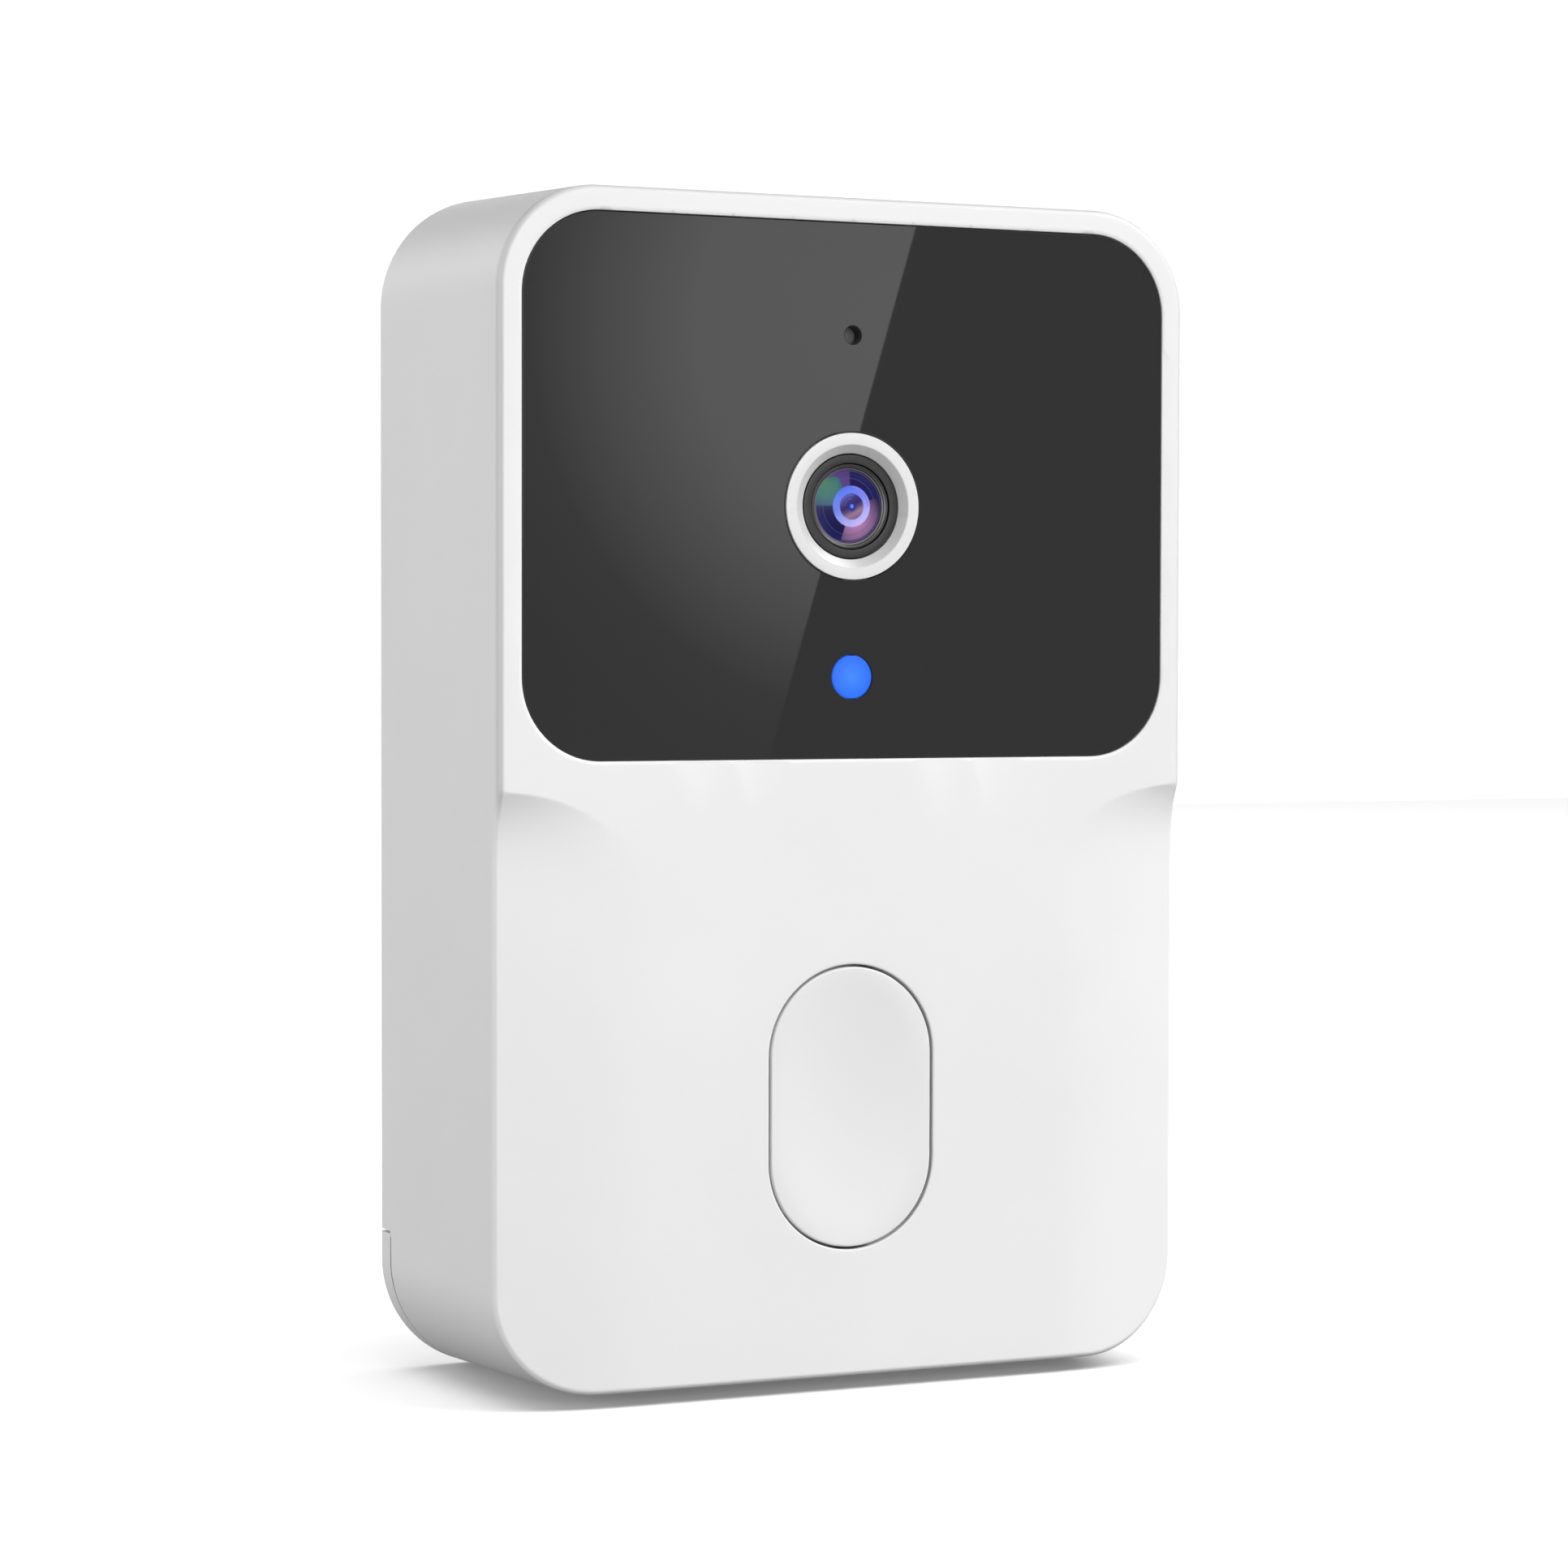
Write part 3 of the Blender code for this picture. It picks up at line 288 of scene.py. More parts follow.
def panel_material():
    """Smoked acrylic with a polished face and a trace of unevenness in its gloss."""
    made = new_material("smoked_acrylic")
    tree = made.node_tree
    where = coordinates(tree)
    feed(made, "Base Color", ramp(tree, noise(tree, where, 40.0, 2.0),
                                  [(0.3, (0.0300, 0.0300, 0.0302)), (0.7, (0.0318, 0.0318, 0.0320))]))
    feed(made, "Roughness", spread(tree, noise(tree, where, 300.0), 0.006, 0.014))
    bump(made, noise(tree, where, 70.0, 1.0), 0.0000006, 0.5)
    return made


def metal(name, colour, roughness, brush):
    """Plated metal with fine scratches and patchy gloss."""
    made = new_material(name, Metallic=1.0)
    tree = made.node_tree
    where = coordinates(tree)
    patches = noise(tree, where, 350.0)
    low = tuple(c * 0.86 for c in colour)
    feed(made, "Base Color", ramp(tree, patches, [(0.3, low), (0.7, colour)]))
    feed(made, "Roughness", spread(tree, patches, roughness - 0.06, roughness + 0.1))
    stretched = add(tree, "ShaderNodeMapping", {"Vector": where, "Scale": (1.0, 1.0, 0.06)}).outputs[0]
    bump(made, noise(tree, stretched, 9000.0, 2.0), brush)
    return made


def ring_material():
    """Black anodised metal with painted highlights as thin light lines on its turned edges."""
    made = new_material("ring_black_anodised", Roughness=0.3, Specular_IOR_Level=0.6)
    tree = made.node_tree
    share = calc(tree, "DIVIDE", distance_from(tree, 0.0, LENS_Z), 0.0040)
    dark, soft, painted_highlight = (0.035, 0.034, 0.033), (0.16, 0.15, 0.15), (0.34, 0.32, 0.34)
    # Painted highlights: two strong light lines and one faint grey line across the ring's turned edges.
    feed(made, "Base Color", ramp(tree, share, [
        (0.700, dark), (0.712, painted_highlight), (0.728, dark), (0.756, dark), (0.764, soft),
        (0.774, dark), (0.800, dark), (0.806, painted_highlight), (0.815, dark)]))
    bump(made, noise(tree, coordinates(tree), 7000.0, 2.0), 0.0000008)
    return made


def bezel_material():
    """Glossy white plastic with a satin grey chamfer round the lens."""
    made = new_material("bezel_white_plastic")
    tree = made.node_tree
    where = coordinates(tree)
    share = calc(tree, "DIVIDE", distance_from(tree, 0.0, LENS_Z), BEZEL_R)
    patches = calc(tree, "SUBTRACT", noise(tree, where, 300.0), 0.5)
    share = calc(tree, "ADD", share, calc(tree, "MULTIPLY", patches, 0.01))
    feed(made, "Base Color", ramp(tree, share, [(0.832, (0.56, 0.56, 0.565)), (0.856, 0.77)]))
    feed(made, "Roughness", spread(tree, noise(tree, where, 900.0), 0.24, 0.34))
    bump(made, noise(tree, where, 2500.0, 2.0), 0.0000012)
    return made


def guide_material():
    """Light guide glowing blue, brighter in its middle."""
    made = new_material("blue_light_guide", Roughness=0.4, Specular_IOR_Level=0.2, Emission_Strength=1.0)
    tree = made.node_tree
    share = calc(tree, "DIVIDE", distance_from(tree, 0.0, STATUS_Z), STATUS_R)
    feed(made, "Emission Color", ramp(tree, share, [(0.0, srgb(56, 132, 240)), (1.0, srgb(34, 102, 234))]))
    feed(made, "Base Color", ramp(tree, share, [(0.0, (0.01, 0.03, 0.25)), (1.0, (0.005, 0.02, 0.18))]))
    return made


def lens_material():
    """Coated glass with painted reflections: navy with coloured patches of painted reflection, and a light
    blue inner ring of painted reflection.
    """
    made = new_material("coated_lens", Roughness=0.22, Specular_IOR_Level=0.12)
    tree = made.node_tree
    split = add(tree, "ShaderNodeSeparateXYZ", {"Vector": coordinates(tree)})
    x = split.outputs["X"]
    z = calc(tree, "SUBTRACT", split.outputs["Z"], LENS_Z)
    mm = 0.001

    def radius_about(right, up):
        """Distance in millimetres from an axis beside the lens's own."""
        dx = calc(tree, "SUBTRACT", x, right * mm)
        dz = calc(tree, "SUBTRACT", z, up * mm)
        return calc(tree, "DIVIDE", hypotenuse(tree, dx, dz), mm)

    def step(value, edge, soft):
        """0 below the edge and 1 above it, over a soft width."""
        return mapped(tree, value, edge - soft, edge + soft, interpolation_type="SMOOTHSTEP")

    def both(*masks):
        result = masks[0]
        for mask in masks[1:]:
            result = calc(tree, "MULTIPLY", result, mask)
        return result

    def within(value, edge, soft):
        return calc(tree, "SUBTRACT", 1.0, step(value, edge, soft))

    def band(value, inner, outer, soft):
        return both(step(value, inner, soft), within(value, outer, soft))

    def sector(start, end):
        return band(angle, math.radians(start), math.radians(end), math.radians(2.5))

    def over(base, colour, mask):
        """A colour laid over another where the mask is 1."""
        if not isinstance(colour, bpy.types.NodeSocket):
            colour = (*colour, 1.0)
        return add(tree, "ShaderNodeMix", {"Factor": mask, 6: base, 7: colour}, data_type="RGBA").outputs[2]

    def shaded(value, reach, stops):
        """A ramp over a distance from 0 to the reach, through (share, screen colour) stops."""
        share = calc(tree, "DIVIDE", value, reach)
        return ramp(tree, share, [(position, srgb(*shown)) for position, shown in stops])

    radius = radius_about(0.0, 0.0)
    angle = calc(tree, "ARCTAN2", z, x)
    slant = calc(tree, "SUBTRACT", calc(tree, "MULTIPLY", x, 0.5), z)
    slant = calc(tree, "DIVIDE", slant, mm)

    def slanted(reach, stops):
        """A ramp that crosses the lens from the upper left to the lower right."""
        return shaded(calc(tree, "ADD", slant, reach / 2), reach, stops)

    # The outer glass: navy, with a violet, a pink and a green patch of painted reflection, a painted
    # highlight near its rim and a faint arc of painted reflection.
    colour = shaded(radius, 2.78, [(0.0, (30, 26, 76)), (0.75, (26, 24, 80)), (0.9, (32, 36, 104)),
                                   (0.965, (30, 30, 74)), (0.985, (112, 104, 150)), (1.0, (20, 20, 40))])
    colour = over(colour, srgb(84, 64, 124), both(sector(88, 150), step(radius, 1.5, 0.05)))
    pink_reflection = shaded(radius_about(0.6, -1.2), 2.6, [(0.0, (190, 130, 190)), (0.45, (140, 104, 146)),
                                                 (0.85, (74, 58, 96)), (1.0, (44, 38, 74))])
    colour = over(colour, pink_reflection, both(sector(-103, 16), within(radius, 2.62, 0.1)))
    green_reflection = shaded(radius_about(-1.9, 1.7), 2.4, [(0.0, (60, 122, 92)), (0.4, (50, 112, 104)),
                                                  (0.75, (44, 84, 128)), (1.0, (36, 60, 130))])
    colour = over(colour, green_reflection, both(sector(112, 179), within(radius_about(-1.15, 0.6), 1.62, 0.05)))
    arc_reflection = band(radius, 2.12, 2.20, 0.03)
    colour = over(colour, srgb(90, 84, 150), calc(tree, "MULTIPLY", arc_reflection, 0.35))

    # The inner ring of painted reflection, which stands slightly to the right, and a painted highlight on its
    # rim.
    ring = slanted(3.8, [(0.0, (78, 112, 232)), (0.45, (112, 134, 240)), (1.0, (200, 190, 248))])
    colour = over(colour, ring, within(radius_about(RING_SHIFT, 0.02), 1.57, 0.04))
    colour = over(colour, srgb(150, 120, 210), both(band(radius, 1.50, 1.60, 0.02), sector(0, 80)))

    # The pupil, with two faint halos of painted reflection and a painted highlight as a small light point.
    shifted = radius_about(RING_SHIFT, 0.0)
    pupil = slanted(2.4, [(0.0, (96, 92, 184)), (0.28, (62, 52, 124)), (0.5, (52, 40, 92)),
                          (0.64, (92, 72, 116)), (0.8, (150, 118, 146)), (1.0, (122, 92, 128))])
    colour = over(colour, pupil, within(shifted, 1.0, 0.06))
    for inner, strength in ((0.80, 0.30), (0.56, 0.22)):
        halo_reflection = both(band(shifted, inner, inner + 0.09, 0.03), sector(70, 178))
        colour = over(colour, srgb(120, 124, 214), calc(tree, "MULTIPLY", halo_reflection, strength))
    colour = over(colour, srgb(38, 46, 140), within(shifted, 0.34, 0.14))
    colour = over(colour, srgb(96, 130, 236), within(radius_about(RING_SHIFT, 0.02), 0.15, 0.05))
    feed(made, "Base Color", colour)
    return made


# Painted shade along the white plastic's rounded front edge.
paint_front_edge_shade(WHITE)
SMOKED = panel_material()
STEEL = metal("zinc_steel", (0.62, 0.62, 0.64), 0.32, 0.000002)
NICKEL = metal("nickel_plate", (0.74, 0.72, 0.66), 0.28, 0.000001)
RING_BLACK = ring_material()
BEZEL_WHITE = bezel_material()
GUIDE_BLUE = guide_material()
LENS_GLASS = lens_material()
BOARD_GREEN = moulded("board_green", (0.015, 0.12, 0.045), 0.35, 0.0009, 0.000004, 0.01)
CHIP_BLACK = moulded("chip_black", (0.02, 0.02, 0.022), 0.5, 0.0001, 0.000003, 0.003)
CERAMIC = moulded("ceramic", (0.80, 0.78, 0.72), 0.4, 0.0002, 0.000001, 0.02)
PAPER = moulded("cone_paper", (0.05, 0.05, 0.05), 0.8, 0.0004, 0.00002, 0.015)
RED = moulded("red_insulation", (0.5, 0.02, 0.02), 0.4, 0.0005, 0.000002, 0.02)
BLACK = moulded("black_insulation", (0.015, 0.015, 0.015), 0.4, 0.0005, 0.000002, 0.004)
FILTER = new_material("filter_glass", Base_Color=(0.5, 0.12, 0.28, 1.0), Roughness=0.04,
                      Transmission_Weight=0.7)


# ---- mesh helpers
def add_object(name, data):
    obj = bpy.data.objects.new(name, data)
    bpy.context.scene.collection.objects.link(obj)
    return obj


def mesh_piece(name, bm, made, angle=SHARP):
    """A smooth-shaded object from a bmesh, with its steep edges kept sharp."""
    bmesh.ops.recalc_face_normals(bm, faces=bm.faces)
    mesh = bpy.data.meshes.new(name)
    bm.to_mesh(mesh)
    bm.free()
    mesh.materials.append(made)
    obj = add_object(name, mesh)
    smooth(obj, angle)
    return obj


def smooth(obj, angle=SHARP):
    """Smooth shading that keeps steep edges sharp and lets the large faces set the normals."""
    obj.data.shade_smooth()
    obj.data.set_sharp_from_angle(angle=angle)
    weighted = obj.modifiers.new("normals", "WEIGHTED_NORMAL")
    weighted.keep_sharp = True
    weighted.weight = 80


def place(obj, body, node):
    """The piece rides on a body and stands for a CAD node."""
    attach(obj, body)
    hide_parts(node)
    return obj


def outline(half, low, high, radius, inset=0.0, steps=20, sides=(), bottom=()):
    """Points (x, z) round a rounded rectangle, anticlockwise from the lower right.

    The sides also get points at these heights, and the lower edge at these places across.
    """
    half -= inset
    low += inset
    high -= inset
    radius = max(min(radius - inset, half, (high - low) / 2), 0.00001)
    corners = ((1, -1, -90), (1, 1, 0), (-1, 1, 90), (-1, -1, 180))
    points = []
    for index, (sx, sz, start) in enumerate(corners):
        cx = sx * (half - radius)
        cz = high - radius if sz > 0 else low + radius
        for step in range(steps + 1):
            angle = math.radians(start + 90 * step / steps)
            points.append((cx + radius * math.cos(angle), cz + radius * math.sin(angle)))
        if index in (0, 2):
            levels = [z for z in sides if low + radius < z < high - radius]
            levels = sorted(levels, reverse=index == 2)
            points.extend((sx * half, z) for z in levels)
    points.extend((x, low) for x in bottom)
    return [point for before, point in zip([points[-1]] + points, points)
            if math.dist(before, point) > 0.0000001]


def loft(name, loops, made):
    """A closed body through loops of equal length, with flat ends."""
    bm = bmesh.new()
    rows = [[bm.verts.new(point) for point in loop] for loop in loops]
    join_rows(bm, rows)
    bm.faces.new(rows[0][::-1])
    bm.faces.new(rows[-1])
    return mesh_piece(name, bm, made)


def join_rows(bm, rows):
    """Quads between loops of equal length."""
    for first, second in zip(rows, rows[1:]):
        count = len(first)
        for index in range(count):
            following = (index + 1) % count
            bm.faces.new((first[index], first[following], second[following], second[index]))


def at_depth(points, y):
    return [(x, y, z) for x, z in points]


def outer_round(radius, steps, start=0.0):
    """(inset, depth) steps round a quarter circle, from a start angle near the face to the side."""
    result = []
    for step in range(steps + 1):
        angle = math.radians(start + (90 - start) * step / steps)
        result.append((radius * (1 - math.sin(angle)), radius * (1 - math.cos(angle))))
    return result


def stack(name, half, low, high, radius, stations, made, steps):
    """A body of rounded rectangles, one for each (inset, y) station."""
    loops = [at_depth(outline(half, low, high, radius, inset, steps), y) for inset, y in stations]
    return loft(name, loops, made)


def slab(name, half, low, high, radius, front, rear, made, front_edge=0.0, rear_edge=0.0, steps=20):
    """A plate in the XZ plane, with its front and rear edges rounded."""
    def edge(radius_of_edge):
        return outer_round(radius_of_edge, 4, 12) if radius_of_edge else [(0.0, 0.0)]

    stations = [(inset, front + depth) for inset, depth in edge(front_edge)]
    stations += [(inset, rear - depth) for inset, depth in reversed(edge(rear_edge))]
    return stack(name, half, low, high, radius, stations, made, steps)


def hole_cutter(name, half, low, high, radius, mouth, floor, steps=20):
    """A cutter for a pocket or hole whose mouth at the front has a small rounded rim."""
    curve = outer_round(RIM, 4, 38)
    stations = [(-inset, mouth + depth - curve[0][1]) for inset, depth in curve]
    stations = [(-curve[0][0], mouth - PAST), *stations, (0.0, floor)]
    return stack(name, half, low, high, radius, stations, WHITE, steps)


def box(name, x, y, z, made, bevel=0.0, segments=3):
    """A box with rounded edges."""
    bm = bmesh.new()
    bmesh.ops.create_cube(bm, size=1.0)
    bmesh.ops.scale(bm, vec=(x[1] - x[0], y[1] - y[0], z[1] - z[0]), verts=bm.verts)
    bmesh.ops.translate(bm, vec=((x[0] + x[1]) / 2, (y[0] + y[1]) / 2, (z[0] + z[1]) / 2), verts=bm.verts)
    if bevel:
        bmesh.ops.bevel(bm, geom=bm.edges, offset=bevel, segments=segments, profile=0.5, affect="EDGES")
    return mesh_piece(name, bm, made)


def filleted(points, radius, steps=4, closed=False):
    """A profile with its corners rounded, apart from those that are nearly straight."""
    result = []
    count = len(points)
    for index, point in enumerate(points):
        if not closed and index in (0, count - 1):
            result.append(point)
            continue
        here = Vector(point)
        back = Vector(points[index - 1]) - here
        ahead = Vector(points[(index + 1) % count]) - here
        turn = back.angle(ahead)
        if turn > math.radians(172):
            result.append(point)
            continue
        reach = min(radius / math.tan(turn / 2), back.length * 0.45, ahead.length * 0.45)
        start = here + back.normalized() * reach
        end = here + ahead.normalized() * reach
        for step in range(steps + 1):
            t = step / steps
            spot = start * (1 - t) ** 2 + here * 2 * t * (1 - t) + end * t ** 2
            result.append((spot.x, spot.y))
    return result


AXES = {
    "front": Matrix.Rotation(math.radians(90), 4, "X"),
    "up": Matrix.Identity(4),
    "right": Matrix.Rotation(math.radians(90), 4, "Y"),
    "left": Matrix.Rotation(math.radians(-90), 4, "Y"),
}


def turned(name, profile, made, centre, axis="front", steps=64, angle=SHARP):
    """A body turned about an axis from (radius, height) points; heights run along the axis."""
    bm = bmesh.new()
    closed = profile[0][0] > 0 or profile[-1][0] > 0
    verts = [bm.verts.new((r, 0.0, h)) for r, h in profile]
    edges = [bm.edges.new(pair) for pair in zip(verts, verts[1:])]
    if closed:
        edges.append(bm.edges.new((verts[-1], verts[0])))
    bmesh.ops.spin(bm, geom=verts + edges, cent=(0, 0, 0), axis=(0, 0, 1), angle=2 * math.pi, steps=steps,
                   use_merge=True)
    bmesh.ops.remove_doubles(bm, verts=bm.verts, dist=0.0000005)
    bmesh.ops.transform(bm, matrix=Matrix.Translation(centre) @ AXES[axis], verts=bm.verts)
    return mesh_piece(name, bm, made, angle)


def front_turned(name, profile, made, z, steps=64, angle=SHARP):
    """A turned body facing forward on the middle plane, from (radius, world Y) points."""
    return turned(name, [(r, -y) for r, y in profile], made, (0.0, 0.0, z), "front", steps, angle)


def boolean(obj, others, operation):
    """Cut or join bodies, keep the result as the object's mesh, and remove the others."""
    obj.modifiers.clear()
    for other in others:
        step = obj.modifiers.new(other.name, "BOOLEAN")
        step.operation = operation
        step.solver = "EXACT"
        step.object = other
    evaluated = obj.evaluated_get(bpy.context.evaluated_depsgraph_get())
    mesh = bpy.data.meshes.new_from_object(evaluated)
    bm = bmesh.new()
    bm.from_mesh(mesh)
    bmesh.ops.dissolve_degenerate(bm, dist=0.0000003, edges=bm.edges)
    bm.to_mesh(mesh)
    bm.free()
    obj.modifiers.clear()
    obj.data = mesh
    made = mesh.materials[0]
    mesh.materials.clear()
    mesh.materials.append(made)
    mesh.polygons.foreach_set("material_index", [0] * len(mesh.polygons))
    for other in others:
        bpy.data.objects.remove(other, do_unlink=True)
    smooth(obj)
    return obj


# ---- the housing
def scoop_depth(x, z):
    """How far the face is set back at a point: the two scoops and the strips below them."""
    across = min(max((HALF - abs(x)) / SCOOP_WIDTH, 0.0), 1.0)
    rise = max((z - SCOOP_LOW) / SCOOP_RISE, 0.0)
    radius = min(math.hypot(across, rise), 1.0)
    return SCOOP_SETBACK * (1 - across) ** SCOOP_FALL * (1 - radius ** SCOOP_CREST)


def skin(x, y, z):
    """A point of the front face's outline carried back to a depth, along the body's draft."""
    away = Vector((x - min(max(x, CORNER - HALF), HALF - CORNER),
                   z - min(max(z, LOW + CORNER), TOP - CORNER)))
    out = away.normalized() * (DRAFT * (y - FRONT) / DEPTH)
    return (x + out.x, y, z + out.y)


def face_outline(inset):
    """The front face's outline drawn in by an inset."""
    return outline(HALF, LOW, TOP, CORNER, inset, OUTLINE_STEPS, side_levels(), BOTTOM_POINTS)


def body_ring(inset, y):
    """The body's outline at a depth, drawn in by an inset."""
    return [skin(x, y, z) for x, z in face_outline(inset)]


def side_levels():
    """Heights along the sides, close together where the scoops begin."""
    near = [SCOOP_LOW - 0.001 + 0.00025 * step for step in range(43)]
    far = [0.013, 0.019, 0.025, 0.031, 0.0355, 0.051, 0.061, 0.071, 0.079]
    return sorted(near + far)


def face_points(edge_inset):
    """Inner points of the front face: fine over the scoops and coarse elsewhere."""
    points = []
    ring = face_outline(edge_inset + 0.00012)
    points.extend(ring)
    shares = [step / 14 for step in range(15)] + [0.965, 0.985, 1.0, 1.015]
    for side in (-1, 1):
        for share in shares:
            x = side * (HALF - SCOOP_WIDTH * share)
            for z in [LOW + 0.001 + 0.0015 * step for step in range(24)]:
                points.append((x, z))
            for step in range(1, 25):
                angle = math.radians(90 * step / 24)
                across = share * math.cos(angle)
                points.append((side * (HALF - SCOOP_WIDTH * across),
                               SCOOP_LOW + SCOOP_RISE * share * math.sin(angle)))
    for row in range(14):
        for column in range(-4, 5):
            points.append((column * 0.0040, LOW + 0.004 + row * 0.0063))
    for margin in (-0.0006, 0.0004, 0.0009, 0.0018):
        half = BUTTON_HALF + margin
        points.extend(outline(half, BUTTON_LOW - margin, BUTTON_TOP + margin, half, 0.0, 12,
                              [BUTTON_LOW + 0.009, BUTTON_Z, BUTTON_TOP - 0.009]))
    for margin in (-0.0008, 0.0004):
        points.extend(outline(PANEL_HIGH.x + margin, PANEL_LOW.z - margin, PANEL_HIGH.z + margin,
                              PANEL_CORNER + margin, 0.0, 14,
                              [PANEL_LOW.z + 0.008 * step for step in range(1, 5)]))
        for z in (PANEL_LOW.z - margin, PANEL_HIGH.z + margin):
            points.extend((-0.0200 + 0.0050 * step, z) for step in range(9))
    inner = {}
    for x, z in points[len(ring):]:
        if inside_outline(x, z, edge_inset + 0.0003):
            inner[(round(x, 5), round(z, 5))] = None
    return ring + list(inner)


def inside_outline(x, z, inset):
    """Whether a point is inside the body's outline by at least the inset."""
    half = HALF - inset
    radius = CORNER - inset
    dx = max(abs(x) - (half - radius), 0.0)
    dz = max(abs(z - (LOW + TOP) / 2) - ((TOP - LOW) / 2 - inset - radius), 0.0)
    return math.hypot(dx, dz) < radius


def housing_outer():
    """The outer skin: rounded rear edge, sides, rounded front edge and sculpted face."""
    bm = bmesh.new()
    rows = [body_ring(inset, REAR - depth) for inset, depth in outer_round(REAR_EDGE, 5)]
    set_back = [scoop_depth(x, z) for x, z in face_outline(FRONT_EDGE)]
    for inset, depth in [(0.0, 0.0022), (0.0, FRONT_EDGE + 0.00012)] + outer_round(FRONT_EDGE, 6)[::-1]:
        rows.append([skin(x, FRONT + depth + back, z)
                     for (x, z), back in zip(face_outline(inset), set_back)])
    verts = [[bm.verts.new(point) for point in row] for row in rows]
    join_rows(bm, verts)
    bm.faces.new(verts[0][::-1])
    count = len(rows[-1])
    flat = [Vector(p) for p in [(x, z) for x, y, z in rows[-1]] + face_points(FRONT_EDGE)]
    edges = [(index, (index + 1) % count) for index in range(count)]
    fill_face(bm, verts[-1], flat, edges, lambda x, z: FRONT + scoop_depth(x, z))
    return mesh_piece("housing", bm, WHITE)


def fill_face(bm, rim, flat, edges, depth_at):
    """Fill a rim with triangles through inner points, each at its own depth."""
    spots, _, faces, sources, _, _ = delaunay_2d_cdt(flat, edges, [], 1, 0.000001)
    face_verts = []
    for spot, source in zip(spots, sources):
        on_rim = [index for index in source if index < len(rim)]
        if on_rim:
            face_verts.append(rim[on_rim[0]])
        else:
            face_verts.append(bm.verts.new((spot.x, depth_at(spot.x, spot.y), spot.y)))
    for face in faces:
        bm.faces.new([face_verts[i] for i in face])


def grille_holes():
    """Cutters for seven speaker holes in the underside, one of them in the middle of a ring."""
    places = [(0.0, SPEAKER_Y)]
    for step in range(6):
        angle = math.radians(60 * step)
        places.append((GRILLE_PITCH * math.cos(angle), SPEAKER_Y + GRILLE_PITCH * math.sin(angle)))
    chamfer = 0.00015
    top = WALL + 0.002
    profile = [(0.0, top), (GRILLE_R, top), (GRILLE_R, chamfer), (GRILLE_R + chamfer, 0.0),
               (GRILLE_R + chamfer, -PAST), (0.0, -PAST)]
    return [turned(f"grille_{index}", profile, WHITE, (x, y, DRAFT * (REAR - y) / DEPTH), "up", 24)
            for index, (x, y) in enumerate(places)]


def housing():
    """The white shell with its pocket, holes, rebate for the cover, rail grooves and grille."""
    body = housing_outer()
    boolean(body, [slab("cavity", INNER_HALF, LOW + WALL, TOP - WALL, INNER_CORNER, INNER_FRONT, REAR + 0.002,
                        WHITE)], "DIFFERENCE")
    pocket = hole_cutter("pocket", PANEL_HIGH.x + PANEL_MARGIN, PANEL_LOW.z - PANEL_MARGIN,
                         PANEL_HIGH.z + PANEL_MARGIN, PANEL_CORNER + PANEL_MARGIN, FRONT, POCKET_FLOOR)
    opening = slab("window", OPENING_HALF, OPENING_LOW, OPENING_TOP, 0.002, FRONT - PAST, INNER_FRONT + PAST,
                   WHITE, steps=6)
    button_hole = hole_cutter("button_hole", BUTTON_HALF + BUTTON_GAP, BUTTON_LOW - BUTTON_GAP,
                              BUTTON_TOP + BUTTON_GAP, BUTTON_HALF + BUTTON_GAP, FRONT,
                              INNER_FRONT + PAST, 32)
    boolean(body, [pocket, opening, button_hole], "DIFFERENCE")
    rebate = box("rebate", (-HALF - 0.002, HALF + 0.002), (COVER_FRONT - COVER_GAP, REAR + 0.004),
                 (-0.004, COVER_STEP + COVER_GAP), WHITE, 0.0004)
    notch = box("notch", (-FOOT_HALF - FOOT_GAP, FOOT_HALF + FOOT_GAP), (FOOT_FRONT - FOOT_GAP, REAR),
                (-PAST, LOW + WALL + PAST), WHITE)
    grooves = [box(f"groove_{side}", sorted((side * (INNER_HALF - 0.001), side * (INNER_HALF + 0.00075))),
                   (COVER_FRONT + 0.00035, COVER_FRONT + 0.00145), (LOW + 0.005, RAIL_TOP + 0.0008), WHITE)
               for side in (-1, 1)]
    boolean(body, [rebate, notch, *grooves, *grille_holes()], "DIFFERENCE")
    return place(body, "housing", "front_housing")


